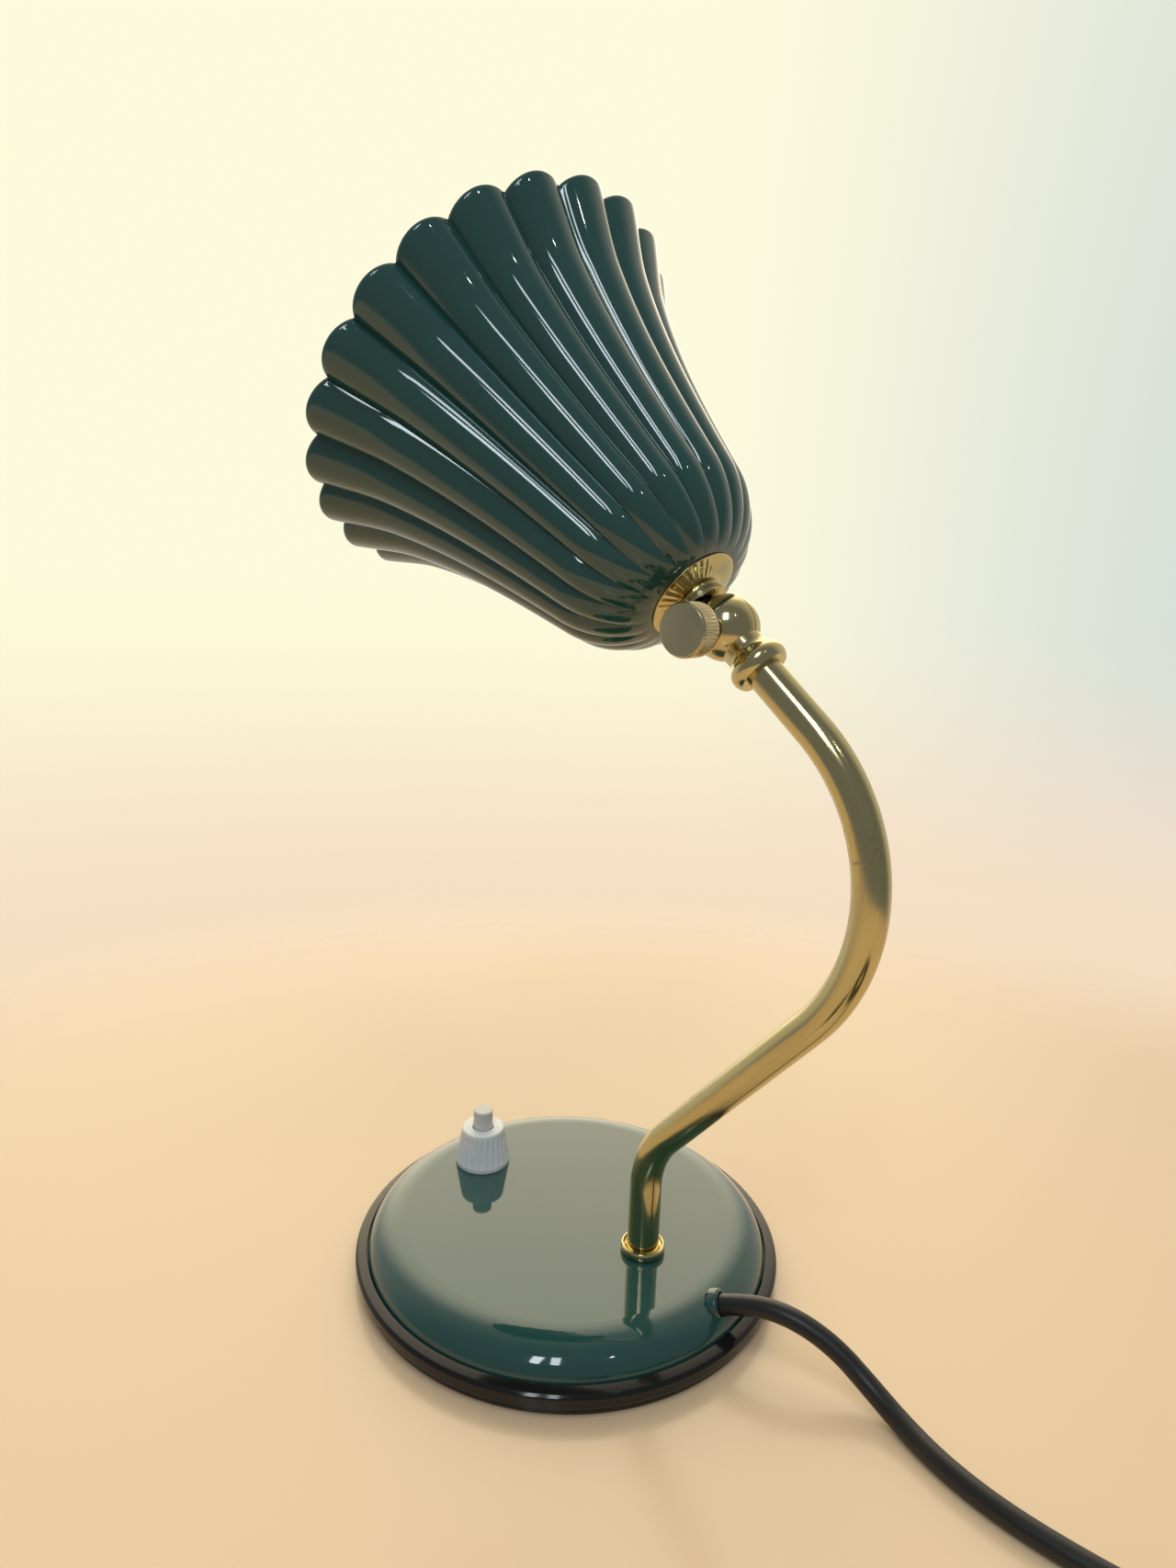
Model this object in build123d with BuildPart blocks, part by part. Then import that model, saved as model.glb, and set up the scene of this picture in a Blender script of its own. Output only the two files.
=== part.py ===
from build123d import *
import math
import os

os.makedirs("parts", exist_ok=True)

# Desk lamp on a round foot. The origin is the centre of the underside, +Z is up,
# the push switch is towards -Y and the arm and the cord are towards +Y.
# Lengths are millimetres and angles are degrees.

# Clearances
seat_gap = 0.2
screw_gap = 0.1
thread_gap = 0.05
hinge_gap = 0.3

# Foot: felt, steel plate and black ring
felt_margin = 3.0
felt_thickness = 1.5
plate_thickness = 3.0
plate_margin = 3.0
ring_overhang = 4.0
ring_flange = 2.0
ring_flange_width = 6.0
ring_lip = 1.7
ring_band = 3.0
ring_bevel = 0.9
ring_slope = 0.7
ring_bead_step = 1.4
ring_bead_bevel = 0.8

# Green cover
cover_radius = 66.0
cover_height = 10.0
cover_wall = 1.2
shoulder_width = 13.0

# Screws that hold the plate to posts under the cover
post_count = 3
post_inset = 17.0
post_radius = 3.6
screw_radius = 1.7
screw_head_radius = 3.8
screw_head_height = 2.1
screw_length = 9.0

# Swan-neck arm
tube_radius = 5.0
tube_wall = 1.0
arm_inset = 21.6
arm_rise = 23.2
lower_bend_radius = 30.0
lower_bend_angle = 40.5
arm_straight_length = 66.8
upper_bend_radius = 56.6
upper_bend_angle = 89.9
arm_tip_length = 21.1
tube_below_cover = 5.5
collar_radius = 7.0
collar_height = 2.8
collar_lip = 0.7
arm_washer_radius = 9.0
washer_thickness = 1.0
nut_across_flats = 14.0
nut_thickness = 3.4

# Push switch
switch_inset = 12.0
switch_length = 20.0
switch_width = 15.0
switch_depth = 9.6
switch_wall = 1.2
switch_thread_radius = 5.0
switch_thread_height = 9.5
switch_nut_radius = 9.5
switch_nut_top_radius = 7.4
switch_nut_height = 13.5
switch_nut_foot = 1.5
switch_nut_rim = 1.6
switch_nut_flutes = 24
switch_flute_radius = 0.55
plunger_radius = 3.4
plunger_proud = 6.5
plunger_flange_radius = 4.6
plunger_flange = 1.2
plunger_travel = 2.5
spring_wire = 0.7
spring_turns = 3
spring_radius = 3.2

# Knuckle between arm and shade
knuckle_reach = 15.2
ball_radius = 9.0
knuckle_collar_radius = 8.1
knuckle_collar_drop = 1.2
knuckle_collar_height = 5.0
knuckle_collar_round = 1.0
knuckle_waist_radius = 5.9
knuckle_waist_at = 6.9
knuckle_waist_sag = 0.35
knuckle_socket_depth = 5.0
knuckle_bore = 3.0
knuckle_pocket_radius = 5.4
knuckle_pocket_depth = 3.0
neck_radius = 4.4
neck_flange_radius = 6.9
neck_flange_at = 8.4
neck_flange_height = 2.0
spigot_radius = 5.0
spigot_bore = 3.2
spigot_length = 12.9
thumb_shank_radius = 2.5
thumb_shank_end = -7.5
thumb_seat = 8.1
thumb_boss_radius = 3.6
thumb_boss_length = 5.7
thumb_knob_radius = 7.2
thumb_knob_thickness = 7.0
thumb_knob_bevel = 0.6
thumb_flutes = 36
thumb_flute_radius = 0.45

# Brass ring and pleated rosette behind the shade
neck_ring_radius = 7.0
neck_ring_height = 1.7
rosette_radius = 13.8
rosette_rise = 2.0
rosette_thickness = 0.9
rosette_hub_radius = 7.4
rosette_pleats = 36
rosette_pleat_depth = 0.35

# Fluted bell shade
shade_tilt = 36.8
shade_length = 95.5
shade_wall = 1.2
shade_valley_wall = 1.7
shade_neck_radius = 14.0
shade_slope = 0.27
shade_dome_width = 13.7
shade_dome_length = 18.0
shade_flare = 11.2
flute_count = 22
flute_depth = 4.6
flute_neck_depth = 0.15
flute_phase = 11.5
dome_steps = 5
flare_steps = 5

# Lamp holder and bulb
shade_washer_radius = 10.0
shade_nut_thickness = 3.0
holder_radius = 12.5
holder_wall = 1.8
holder_base_depth = 14.0
holder_base_floor = 4.0
holder_skirt_length = 15.0
holder_skirt_radius = 11.6
skirt_ledge = 1.0
insert_radius = 10.0
insert_thickness = 5.0
sleeve_radius = 7.6
sleeve_wall = 0.5
sleeve_length = 16.0
tongue_thickness = 0.6
tongue_radius = 3.0
bulb_cap_radius = 6.8
globe_neck_length = 3.4
bulb_button_radius = 2.4
bulb_button_height = 1.6
globe_radius = 21.0
globe_wall = 0.8
globe_neck_radius = 6.3
bulb_length = 69.0

# Wiring inside the lamp
lead_radius = 2.1
lead_bow = 3.0
lead_stub = 6.0
head_lead_radius = 1.3
inner_cord_clearance = 0.4
inner_cord_run = 17.0
terminal_length = 16.0
terminal_width = 12.0
terminal_height = 8.5
terminal_y = 2.0
terminal_corner = 1.0
grip_radius = 4.5
grip_length = 2.5
grip_start = 9.0

# Mains cord
cord_radius = 3.0
cord_hole_radius = 3.4
coil_turns = 3.5
coil_outer_radius = 47.0
coil_pitch = 6.5
coil_height = 4.0
coil_layer = 6.5
coil_tail_run = 36.0
coil_tail_drop = 3.5
tie_thickness = 0.7
tie_width = 6.0
tie_gap = 0.3
plug_width = 25.0
plug_thickness = 14.0
plug_length = 36.0
plug_nose_length = 16.0
plug_collar_radius = 4.6
plug_collar_length = 22.0
pin_radius = 2.0
pin_length = 19.0
pin_spacing = 19.0

# Heights in the foot
plate_bottom = felt_thickness
plate_top = plate_bottom + plate_thickness
cover_seat = plate_top + ring_flange
cover_top = cover_seat + cover_height
cover_under = cover_top - cover_wall
plate_radius = cover_radius - plate_margin
felt_radius = plate_radius - felt_margin
flat_radius = cover_radius - shoulder_width
post_circle_radius = plate_radius - post_inset
arm_y = flat_radius - arm_inset
switch_y = switch_inset - flat_radius


def axial_plane(origin, direction):
    # Local x is the radius along world X and local y runs along the axis
    return Plane(origin=origin, x_dir=(1, 0, 0), z_dir=Vector(1, 0, 0).cross(Vector(direction)))


def outline(plane, points):
    with BuildSketch(plane) as sketch:
        with BuildLine():
            Polyline(points, close=True)
        make_face()
    return sketch.sketch


def hexagon(plane, across_flats):
    with BuildSketch(plane) as sketch:
        RegularPolygon(across_flats / 2, 6, major_radius=False)
    return sketch.sketch


def disc(plane, radius, bore=0.0):
    with BuildSketch(plane) as sketch:
        Circle(radius)
        if bore:
            Circle(bore, mode=Mode.SUBTRACT)
    return sketch.sketch


def bend_radii(points):
    # Each arc uses 0.45 of the shorter of its two runs
    radii = []
    for before, corner, after in zip(points, points[1:], points[2:]):
        arriving = Vector(corner) - Vector(before)
        leaving = Vector(after) - Vector(corner)
        turn = math.radians(arriving.get_angle(leaving))
        shorter = min(arriving.length, leaving.length)
        radii.append(0.45 * shorter / math.tan(turn / 2))
    return radii


def cord_path(points):
    with BuildLine() as line:
        FilletPolyline(points, radius=bend_radii(points))
    return line.wire()


def tube(path, radius):
    with BuildSketch(Plane(origin=path @ 0, z_dir=path % 0)) as section:
        Circle(radius)
    return section.sketch


def biarc(start, start_way, end, end_way):
    # Two tangent arcs between two points with given directions
    gap = end - start
    ways = start_way + end_way
    spread = 2 * (1 - start_way.dot(end_way))
    along = gap.dot(ways)
    reach = (math.sqrt(along * along + spread * gap.dot(gap)) - along) / spread
    joint = (start + end + (start_way - end_way) * reach) * 0.5
    first = Edge.make_tangent_arc(start, start_way, joint)
    second = Edge.make_tangent_arc(joint, first % 1, end)
    return [first, second]


def wound_edges(place, turns):
    # place(t) gives the point after t turns; one pair of arcs for each quarter turn
    step = 1e-4
    count = round(turns * 4)
    points = []
    ways = []
    for quarter in range(count + 1):
        turn = quarter / 4
        points.append(place(turn))
        ways.append((place(turn + step) - place(turn - step)).normalized())
    edges = []
    for k in range(count):
        edges += biarc(points[k], ways[k], points[k + 1], ways[k + 1])
    return edges


def least_gap(place, turns, wire_radius):
    # Closest approach of the wire to its own next turns, on points
    samples = 36
    points = [place(k / samples) for k in range(int(turns * samples) + 1)]
    nearest = 1e9
    for i, point in enumerate(points):
        for other in points[i + samples // 2:]:
            nearest = min(nearest, (point - other).length)
    return nearest - 2 * wire_radius


# Felt pad under the foot
with BuildPart() as felt_pad:
    extrude(disc(Plane.XY, felt_radius), amount=felt_thickness)

# Steel plate that weighs the foot down
with BuildPart() as base_plate:
    extrude(disc(Plane.XY.offset(plate_bottom), plate_radius), amount=plate_thickness)
    with Locations(Plane.XY.offset(plate_bottom).rotated((180, 0, 0))):
        with PolarLocations(post_circle_radius, post_count):
            CounterSinkHole(screw_radius + screw_gap, screw_head_radius + screw_gap)

# Black ring round the foot, clamped between the cover's edge and the plate
ring_radius = cover_radius + ring_overhang
ring_inner = plate_radius + seat_gap
ring_top = cover_seat + ring_lip
band_top = ring_top - ring_bevel - ring_slope
band_bottom = band_top - ring_band
bead_radius = ring_radius - ring_bead_step
with BuildPart() as base_ring:
    ring_points = [
        (ring_inner, 0),
        (bead_radius - ring_bead_bevel, 0),
        (bead_radius, ring_bead_bevel),
        (bead_radius, band_bottom - ring_bevel),
        (ring_radius, band_bottom),
        (ring_radius, band_top),
        (ring_radius - ring_bevel, band_top + ring_bevel),
        (cover_radius + seat_gap, ring_top),
        (cover_radius + seat_gap, cover_seat),
        (cover_radius - ring_flange_width, cover_seat),
        (cover_radius - ring_flange_width, plate_top),
        (ring_inner, plate_top),
    ]
    revolve(outline(axial_plane((0, 0, 0), (0, 0, 1)), ring_points), axis=Axis.Z)

# Route of the mains cord from the hole in the cover to the coil
cord_route = [
    (1.5, cover_radius - 4.5, cover_top - 2.5),
    (-1.4, cover_radius + 5.6, cover_top + 1.5),
    (-4.2, cover_radius + 17.4, cover_top + 1.5),
    (-7.0, cover_radius + 29.0, 13.4),
    (-7.6, cover_radius + 39.6, 6.8),
    (-4.6, cover_radius + 51.4, 3.2),
    (0.4, cover_radius + 64.5, cord_radius),
    (3.6, cover_radius + 80.0, cord_radius),
    (4.2, cover_radius + 98.0, cord_radius),
    (3.0, cover_radius + 118.0, 3.2),
    (4.0, cover_radius + 133.0, coil_height),
    (4.0, cover_radius + 143.0, coil_height),
]
cord_exit = Vector(cord_route[0])
cord_way = (Vector(cord_route[1]) - cord_exit).normalized()

# Green cover with its rounded shoulder
with BuildPart() as base_cover:
    with BuildSketch(axial_plane((0, 0, 0), (0, 0, 1))):
        with BuildLine():
            outer_rise = EllipticalCenterArc(
                (flat_radius, cover_seat), shoulder_width, cover_height, arc_size=90)
            inner_rise = EllipticalCenterArc(
                (flat_radius, cover_seat),
                shoulder_width - cover_wall,
                cover_height - cover_wall,
                arc_size=90)
            Polyline((outer_rise @ 1), (0, cover_top), (0, cover_under), (inner_rise @ 1))
            Line(outer_rise @ 0, inner_rise @ 0)
        make_face()
    revolve(axis=Axis.Z)
    extrude(
        disc(Plane((0, arm_y, cover_seat)), tube_radius + screw_gap),
        amount=cover_height * 2,
        mode=Mode.SUBTRACT)
    extrude(
        disc(Plane((0, switch_y, cover_seat)), switch_thread_radius + screw_gap),
        amount=cover_height * 2,
        mode=Mode.SUBTRACT)
    extrude(
        disc(Plane(origin=cord_exit, z_dir=cord_way), cord_hole_radius),
        amount=shoulder_width,
        both=True,
        mode=Mode.SUBTRACT)

# Posts under the cover that take the plate's screws
with BuildPart() as cover_posts:
    with BuildSketch(Plane.XY.offset(plate_top)):
        with PolarLocations(post_circle_radius, post_count):
            Circle(post_radius)
            Circle(screw_radius + screw_gap, mode=Mode.SUBTRACT)
    extrude(amount=cover_under - plate_top)

# Countersunk screws
with BuildPart() as plate_screws:
    with BuildSketch(Plane.XY.offset(plate_bottom)):
        with PolarLocations(post_circle_radius, post_count):
            Circle(screw_head_radius)
    extrude(amount=screw_head_height, taper=45)
    with BuildSketch(Plane.XY.offset(plate_bottom)):
        with PolarLocations(post_circle_radius, post_count):
            Circle(screw_radius)
    extrude(amount=screw_length)

# Centre line of the arm, in the plane X = 0
tube_bottom = cover_under - tube_below_cover
with BuildLine(Plane.YZ) as arm_line:
    foot_run = Line((arm_y, tube_bottom), (arm_y, cover_top + arm_rise))
    lower_bend = JernArc(foot_run @ 1, foot_run % 1, lower_bend_radius, -lower_bend_angle)
    slope_run = PolarLine(lower_bend @ 1, arm_straight_length, direction=lower_bend % 1)
    upper_bend = JernArc(slope_run @ 1, slope_run % 1, upper_bend_radius, upper_bend_angle)
    tip_run = PolarLine(upper_bend @ 1, arm_tip_length + knuckle_socket_depth, direction=upper_bend % 1)
arm_path = arm_line.line
arm_way = arm_path % 1
arm_end = (arm_path @ 1) - arm_way * knuckle_socket_depth
pivot = arm_end + arm_way * knuckle_reach

# Brass tube of the arm
with BuildPart() as arm_tube:
    with BuildSketch(Plane((0, arm_y, tube_bottom))):
        Circle(tube_radius)
        Circle(tube_radius - tube_wall, mode=Mode.SUBTRACT)
    sweep(path=arm_path)

# Brass collar with a raised lip at the foot of the arm
with BuildPart() as arm_collar:
    collar_bore = tube_radius + thread_gap
    collar_points = [
        (collar_bore, 0),
        (collar_radius - collar_lip, 0),
        (collar_radius, collar_lip),
        (collar_radius, collar_height - collar_lip / 2),
        (collar_radius - collar_lip / 2, collar_height),
        (collar_radius - collar_lip, collar_height),
        (collar_bore, collar_height / 2),
    ]
    foot_top = (0, arm_y, cover_top)
    revolve(outline(axial_plane(foot_top, (0, 0, 1)), collar_points), axis=Axis(foot_top, (0, 0, 1)))

# Washer and nut that hold the arm under the cover
with BuildPart() as arm_washer:
    extrude(
        disc(Plane((0, arm_y, cover_under)), arm_washer_radius, tube_radius + thread_gap),
        amount=-washer_thickness)

with BuildPart() as arm_nut:
    nut_plane = Plane((0, arm_y, cover_under - washer_thickness))
    extrude(hexagon(nut_plane, nut_across_flats), amount=-nut_thickness)
    extrude(disc(nut_plane, tube_radius + thread_gap), amount=-nut_thickness, mode=Mode.SUBTRACT)

# Switch: body under the cover, threaded neck through it
switch_floor = cover_under - switch_depth
neck_top = cover_top + switch_thread_height
flange_seat = cover_under - switch_wall
plunger_bore = plunger_radius + hinge_gap
with BuildPart() as switch_body:
    with BuildSketch(Plane((0, switch_y, switch_floor))):
        RectangleRounded(switch_length, switch_width, switch_wall)
    extrude(amount=switch_depth)
    extrude(disc(Plane((0, switch_y, cover_under)), switch_thread_radius), amount=neck_top - cover_under)
    extrude(
        disc(Plane((0, switch_y, switch_floor + switch_wall)), plunger_flange_radius + hinge_gap),
        amount=flange_seat - switch_floor - switch_wall,
        mode=Mode.SUBTRACT)
    extrude(
        disc(Plane((0, switch_y, flange_seat)), plunger_bore),
        amount=neck_top - flange_seat,
        mode=Mode.SUBTRACT)

# Plunger, held up by its spring against the underside of the neck
plunger_top = cover_top + switch_nut_height + plunger_proud
flange_top = flange_seat - hinge_gap
flange_bottom = flange_top - plunger_flange
with BuildPart() as switch_plunger:
    extrude(disc(Plane((0, switch_y, flange_bottom)), plunger_flange_radius), amount=plunger_flange)
    extrude(disc(Plane((0, switch_y, flange_bottom)), plunger_radius), amount=plunger_top - flange_bottom)
    fillet(switch_plunger.edges().sort_by(Axis.Z)[-1], plunger_radius / 5)

# Coil spring under the plunger
spring_bottom = switch_floor + switch_wall + spring_wire / 2 + screw_gap
spring_top = flange_bottom - spring_wire / 2 - screw_gap


def spring_place(turn):
    angle = 2 * math.pi * turn
    height = spring_bottom + (spring_top - spring_bottom) * turn / spring_turns
    return Vector(spring_radius * math.cos(angle), switch_y + spring_radius * math.sin(angle), height)


with BuildPart() as switch_spring:
    spring_path = Wire(wound_edges(spring_place, spring_turns))
    with BuildSketch(Plane(origin=spring_path @ 0, z_dir=spring_path % 0)):
        RegularPolygon(spring_wire / 2, 6)
    sweep(path=spring_path)
print("spring gap", round(least_gap(spring_place, spring_turns, spring_wire / 2), 2))

# Fluted white nut over the switch neck
with BuildPart() as switch_nut:
    switch_foot = (0, switch_y, cover_top)
    nut_points = [
        (switch_thread_radius + thread_gap, 0),
        (switch_nut_radius, 0),
        (switch_nut_radius, switch_nut_foot),
        (switch_nut_top_radius, switch_nut_height),
        (plunger_bore, switch_nut_height),
        (plunger_bore, switch_thread_height + switch_nut_rim),
        (switch_thread_radius + thread_gap, switch_thread_height + switch_nut_rim / 2),
    ]
    switch_axis = Axis(switch_foot, (0, 0, 1))
    revolve(outline(axial_plane(switch_foot, (0, 0, 1)), nut_points), axis=switch_axis)
    flute_rise = switch_nut_height - switch_nut_foot - switch_nut_rim
    flute_lean = math.degrees(math.atan2(
        switch_nut_radius - switch_nut_top_radius,
        switch_nut_height - switch_nut_foot))
    flute_start = Plane(switch_foot).offset(switch_nut_foot)
    with Locations(flute_start):
        with PolarLocations(switch_nut_radius, switch_nut_flutes):
            Cylinder(
                switch_flute_radius,
                flute_rise,
                rotation=(0, -flute_lean, 0),
                align=(Align.CENTER, Align.CENTER, Align.MIN),
                mode=Mode.SUBTRACT)

# Direction of the shade's axis, and the planes of the tilting head
head_way = Vector(0, -math.cos(math.radians(shade_tilt)), math.sin(math.radians(shade_tilt)))
head_axis = Axis(pivot, head_way)
head_plane = Plane(origin=pivot, x_dir=(1, 0, 0), z_dir=head_way)
head_profile = axial_plane(pivot, head_way)
hinge_plane = Plane(origin=pivot, x_dir=(0, 1, 0), z_dir=(1, 0, 0))
half_gap = hinge_gap / 2

# Lower half of the knuckle: socket for the tube, waist and half of the ball
with BuildPart() as knuckle_lower:
    arm_plane = Plane(origin=arm_end, z_dir=arm_way)
    with BuildSketch(axial_plane(arm_end, arm_way)):
        with BuildLine():
            collar_foot = (knuckle_collar_radius - knuckle_collar_round, -knuckle_collar_drop)
            collar_middle = (knuckle_collar_radius, knuckle_collar_height / 2 - knuckle_collar_drop)
            collar_end = (collar_foot[0], knuckle_collar_height - knuckle_collar_drop)
            collar_round = ThreePointArc(collar_foot, collar_middle, collar_end)
            waist_in = SagittaArc(collar_round @ 1, (knuckle_waist_radius, knuckle_waist_at), knuckle_waist_sag)
            Polyline(
                waist_in @ 1,
                (knuckle_waist_radius, knuckle_reach),
                (0, knuckle_reach),
                (0, -knuckle_collar_drop),
                collar_foot)
        make_face()
    revolve(axis=Axis(arm_end, arm_way))
    with Locations(pivot):
        Sphere(ball_radius)
    extrude(
        disc(arm_plane.offset(-knuckle_collar_drop), tube_radius + thread_gap),
        amount=knuckle_collar_drop + knuckle_socket_depth,
        mode=Mode.SUBTRACT)
    extrude(disc(arm_plane, knuckle_bore), amount=knuckle_reach, mode=Mode.SUBTRACT)
    extrude(
        disc(hinge_plane.offset(half_gap), ball_radius + hinge_gap),
        amount=-2 * ball_radius,
        mode=Mode.SUBTRACT)
    extrude(
        disc(hinge_plane.offset(half_gap), knuckle_pocket_radius),
        amount=knuckle_pocket_depth,
        mode=Mode.SUBTRACT)
    extrude(
        disc(hinge_plane, thumb_shank_radius + hinge_gap),
        amount=2 * ball_radius,
        mode=Mode.SUBTRACT)
    extrude(
        disc(hinge_plane.offset(thumb_seat), thumb_boss_radius + hinge_gap),
        amount=ball_radius,
        mode=Mode.SUBTRACT)

# Upper half of the knuckle: the other half of the ball, neck and threaded spigot
neck_flange_top = neck_flange_at + neck_flange_height
spigot_top = neck_flange_top + spigot_length
with BuildPart() as knuckle_upper:
    neck_points = [
        (0, 0),
        (neck_radius, 0),
        (neck_radius, neck_flange_at),
        (neck_flange_radius, neck_flange_at),
        (neck_flange_radius, neck_flange_top),
        (spigot_radius, neck_flange_top),
        (spigot_radius, spigot_top),
        (0, spigot_top),
    ]
    revolve(outline(head_profile, neck_points), axis=head_axis)
    with Locations(pivot):
        Sphere(ball_radius)
    extrude(disc(head_plane, spigot_bore), amount=spigot_top, mode=Mode.SUBTRACT)
    extrude(
        disc(hinge_plane.offset(-half_gap), ball_radius + hinge_gap),
        amount=2 * ball_radius,
        mode=Mode.SUBTRACT)
    extrude(
        disc(hinge_plane.offset(-half_gap), knuckle_pocket_radius),
        amount=-knuckle_pocket_depth,
        mode=Mode.SUBTRACT)
    extrude(
        disc(hinge_plane, thumb_shank_radius + thread_gap),
        amount=-2 * ball_radius,
        mode=Mode.SUBTRACT)

# Thumb screw that clamps the two halves, on the +X side
thumb_axis = Axis(pivot, (1, 0, 0))
knob_start = thumb_seat + half_gap + thumb_boss_length
knob_end = knob_start + thumb_knob_thickness
with BuildPart() as thumb_screw:
    extrude(
        disc(hinge_plane.offset(thumb_shank_end), thumb_shank_radius),
        amount=knob_start - thumb_shank_end)
    extrude(disc(hinge_plane.offset(thumb_seat + half_gap), thumb_boss_radius), amount=thumb_boss_length)
    extrude(disc(hinge_plane.offset(knob_start), thumb_knob_radius), amount=thumb_knob_thickness)
    chamfer(thumb_screw.edges().sort_by(Axis.X)[-1], thumb_knob_bevel)
    with BuildSketch(hinge_plane.offset(knob_start)):
        with PolarLocations(thumb_knob_radius, thumb_flutes):
            Circle(thumb_flute_radius)
    extrude(amount=thumb_knob_thickness, mode=Mode.SUBTRACT)

# Brass ring on the spigot
ring_start = neck_flange_top
rosette_start = ring_start + neck_ring_height
with BuildPart() as neck_ring:
    extrude(
        disc(head_plane.offset(ring_start), neck_ring_radius, spigot_radius + thread_gap),
        amount=neck_ring_height)
    ring_rims = neck_ring.edges().filter_by(GeomType.CIRCLE).group_by(SortBy.RADIUS)[-1]
    chamfer(ring_rims, collar_lip / 2)

# Pleated rosette, dished so that its rim bears on the shade
shade_start = rosette_start + rosette_rise
with BuildPart() as rosette:
    rosette_bore = spigot_radius + thread_gap
    rosette_edge = shade_start - rosette_thickness / 2
    rosette_points = [
        (rosette_bore, rosette_start),
        (rosette_hub_radius, rosette_start),
        (rosette_radius, rosette_edge),
        (rosette_radius, shade_start),
        (rosette_radius - rosette_thickness, shade_start),
        (rosette_hub_radius, rosette_start + rosette_thickness),
        (rosette_bore, rosette_start + rosette_thickness),
    ]
    revolve(outline(head_profile, rosette_points), axis=head_axis)
    pleat_run = rosette_radius - rosette_hub_radius
    pleat_rise = rosette_edge - rosette_start
    pleat_lean = math.degrees(math.atan2(pleat_rise, pleat_run))
    with Locations(head_plane.offset(rosette_start)):
        with PolarLocations(rosette_hub_radius, rosette_pleats):
            Cylinder(
                rosette_pleat_depth,
                2 * pleat_run,
                rotation=(0, 90 - pleat_lean, 0),
                align=(Align.CENTER, Align.CENTER, Align.MIN),
                mode=Mode.SUBTRACT)


# Profile of the shade: radius of the flutes' crests at a distance from its neck
def crest_at(distance):
    in_dome = min(distance, shade_dome_length) / shade_dome_length
    past_dome = max(distance - shade_dome_length, 0) / (shade_length - shade_dome_length)
    dome = shade_dome_width * math.sqrt(1 - (1 - in_dome) ** 2)
    return shade_neck_radius + shade_slope * distance + dome + shade_flare * past_dome ** 3


def depth_at(distance):
    growth = (crest_at(distance) - shade_neck_radius) / (crest_at(shade_length) - shade_neck_radius)
    return flute_neck_depth + (flute_depth - flute_neck_depth) * growth


def fluted(distance, crest, valley):
    # One arc for each flute, meeting its neighbours in a sharp valley
    step = 2 * math.pi / flute_count
    first = math.radians(flute_phase)
    with BuildSketch(head_plane.offset(shade_start + distance)) as section:
        with BuildLine():
            for k in range(flute_count):
                left = first + k * step
                middle = left + step / 2
                right = left + step
                ThreePointArc(
                    (valley * math.cos(left), valley * math.sin(left)),
                    (crest * math.cos(middle), crest * math.sin(middle)),
                    (valley * math.cos(right), valley * math.sin(right)))
        make_face()
    return section.sketch


stations = []
for k in range(dome_steps + 1):
    stations.append(shade_dome_length * (1 - math.cos(math.pi / 2 * k / dome_steps)))
for k in range(1, flare_steps + 1):
    stations.append(shade_dome_length + (shade_length - shade_dome_length) * k / flare_steps)

outer_sections = []
inner_sections = []
for k, distance in enumerate(stations):
    crest = crest_at(distance)
    valley = crest - depth_at(distance)
    outer_sections.append(fluted(distance, crest, valley))
    if k == 0:
        along, across = 0.0, 1.0
    elif k == len(stations) - 1:
        along, across = 1.0, 0.0
    else:
        run = stations[k + 1] - stations[k - 1]
        rise = crest_at(stations[k + 1]) - crest_at(stations[k - 1])
        along = run / math.hypot(run, rise)
        across = rise / math.hypot(run, rise)
    inner_crest = crest - shade_wall * along
    inner_valley = valley - shade_valley_wall * along
    inner_sections.append(fluted(distance + shade_wall * across, inner_crest, inner_valley))

with BuildPart() as shade:
    loft(outer_sections)
    loft(inner_sections, mode=Mode.SUBTRACT)
    extrude(
        disc(head_plane.offset(shade_start), spigot_radius + screw_gap),
        amount=4 * shade_wall,
        mode=Mode.SUBTRACT)

# Washer and nut inside the shade
washer_start = shade_start + shade_wall
shade_nut_start = washer_start + washer_thickness
with BuildPart() as shade_washer:
    extrude(
        disc(head_plane.offset(washer_start), shade_washer_radius, spigot_radius + thread_gap),
        amount=washer_thickness)

with BuildPart() as shade_nut:
    extrude(hexagon(head_plane.offset(shade_nut_start), nut_across_flats), amount=shade_nut_thickness)
    extrude(
        disc(head_plane.offset(shade_nut_start), spigot_radius + thread_gap),
        amount=shade_nut_thickness,
        mode=Mode.SUBTRACT)

# Lamp holder: cup on the spigot, contact block, threaded sleeve, tongue and skirt
cup_start = shade_nut_start + shade_nut_thickness
cup_floor = cup_start + holder_base_floor
cup_end = cup_start + holder_base_depth
cup_bore = holder_radius - holder_wall
with BuildPart() as holder_cup:
    cup_points = [
        (spigot_radius + thread_gap, cup_start),
        (holder_radius - holder_wall, cup_start),
        (holder_radius, cup_start + holder_wall),
        (holder_radius, cup_end),
        (cup_bore, cup_end),
        (cup_bore, cup_floor),
        (spigot_radius + thread_gap, cup_floor),
    ]
    revolve(outline(head_profile, cup_points), axis=head_axis)

insert_end = cup_floor + insert_thickness
with BuildPart() as holder_insert:
    extrude(disc(head_plane.offset(cup_floor), insert_radius, lead_radius), amount=insert_thickness)

with BuildPart() as contact_sleeve:
    extrude(
        disc(head_plane.offset(insert_end), sleeve_radius, sleeve_radius - sleeve_wall),
        amount=sleeve_length)

with BuildPart() as contact_tongue:
    extrude(disc(head_plane.offset(insert_end), tongue_radius), amount=tongue_thickness)

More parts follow.
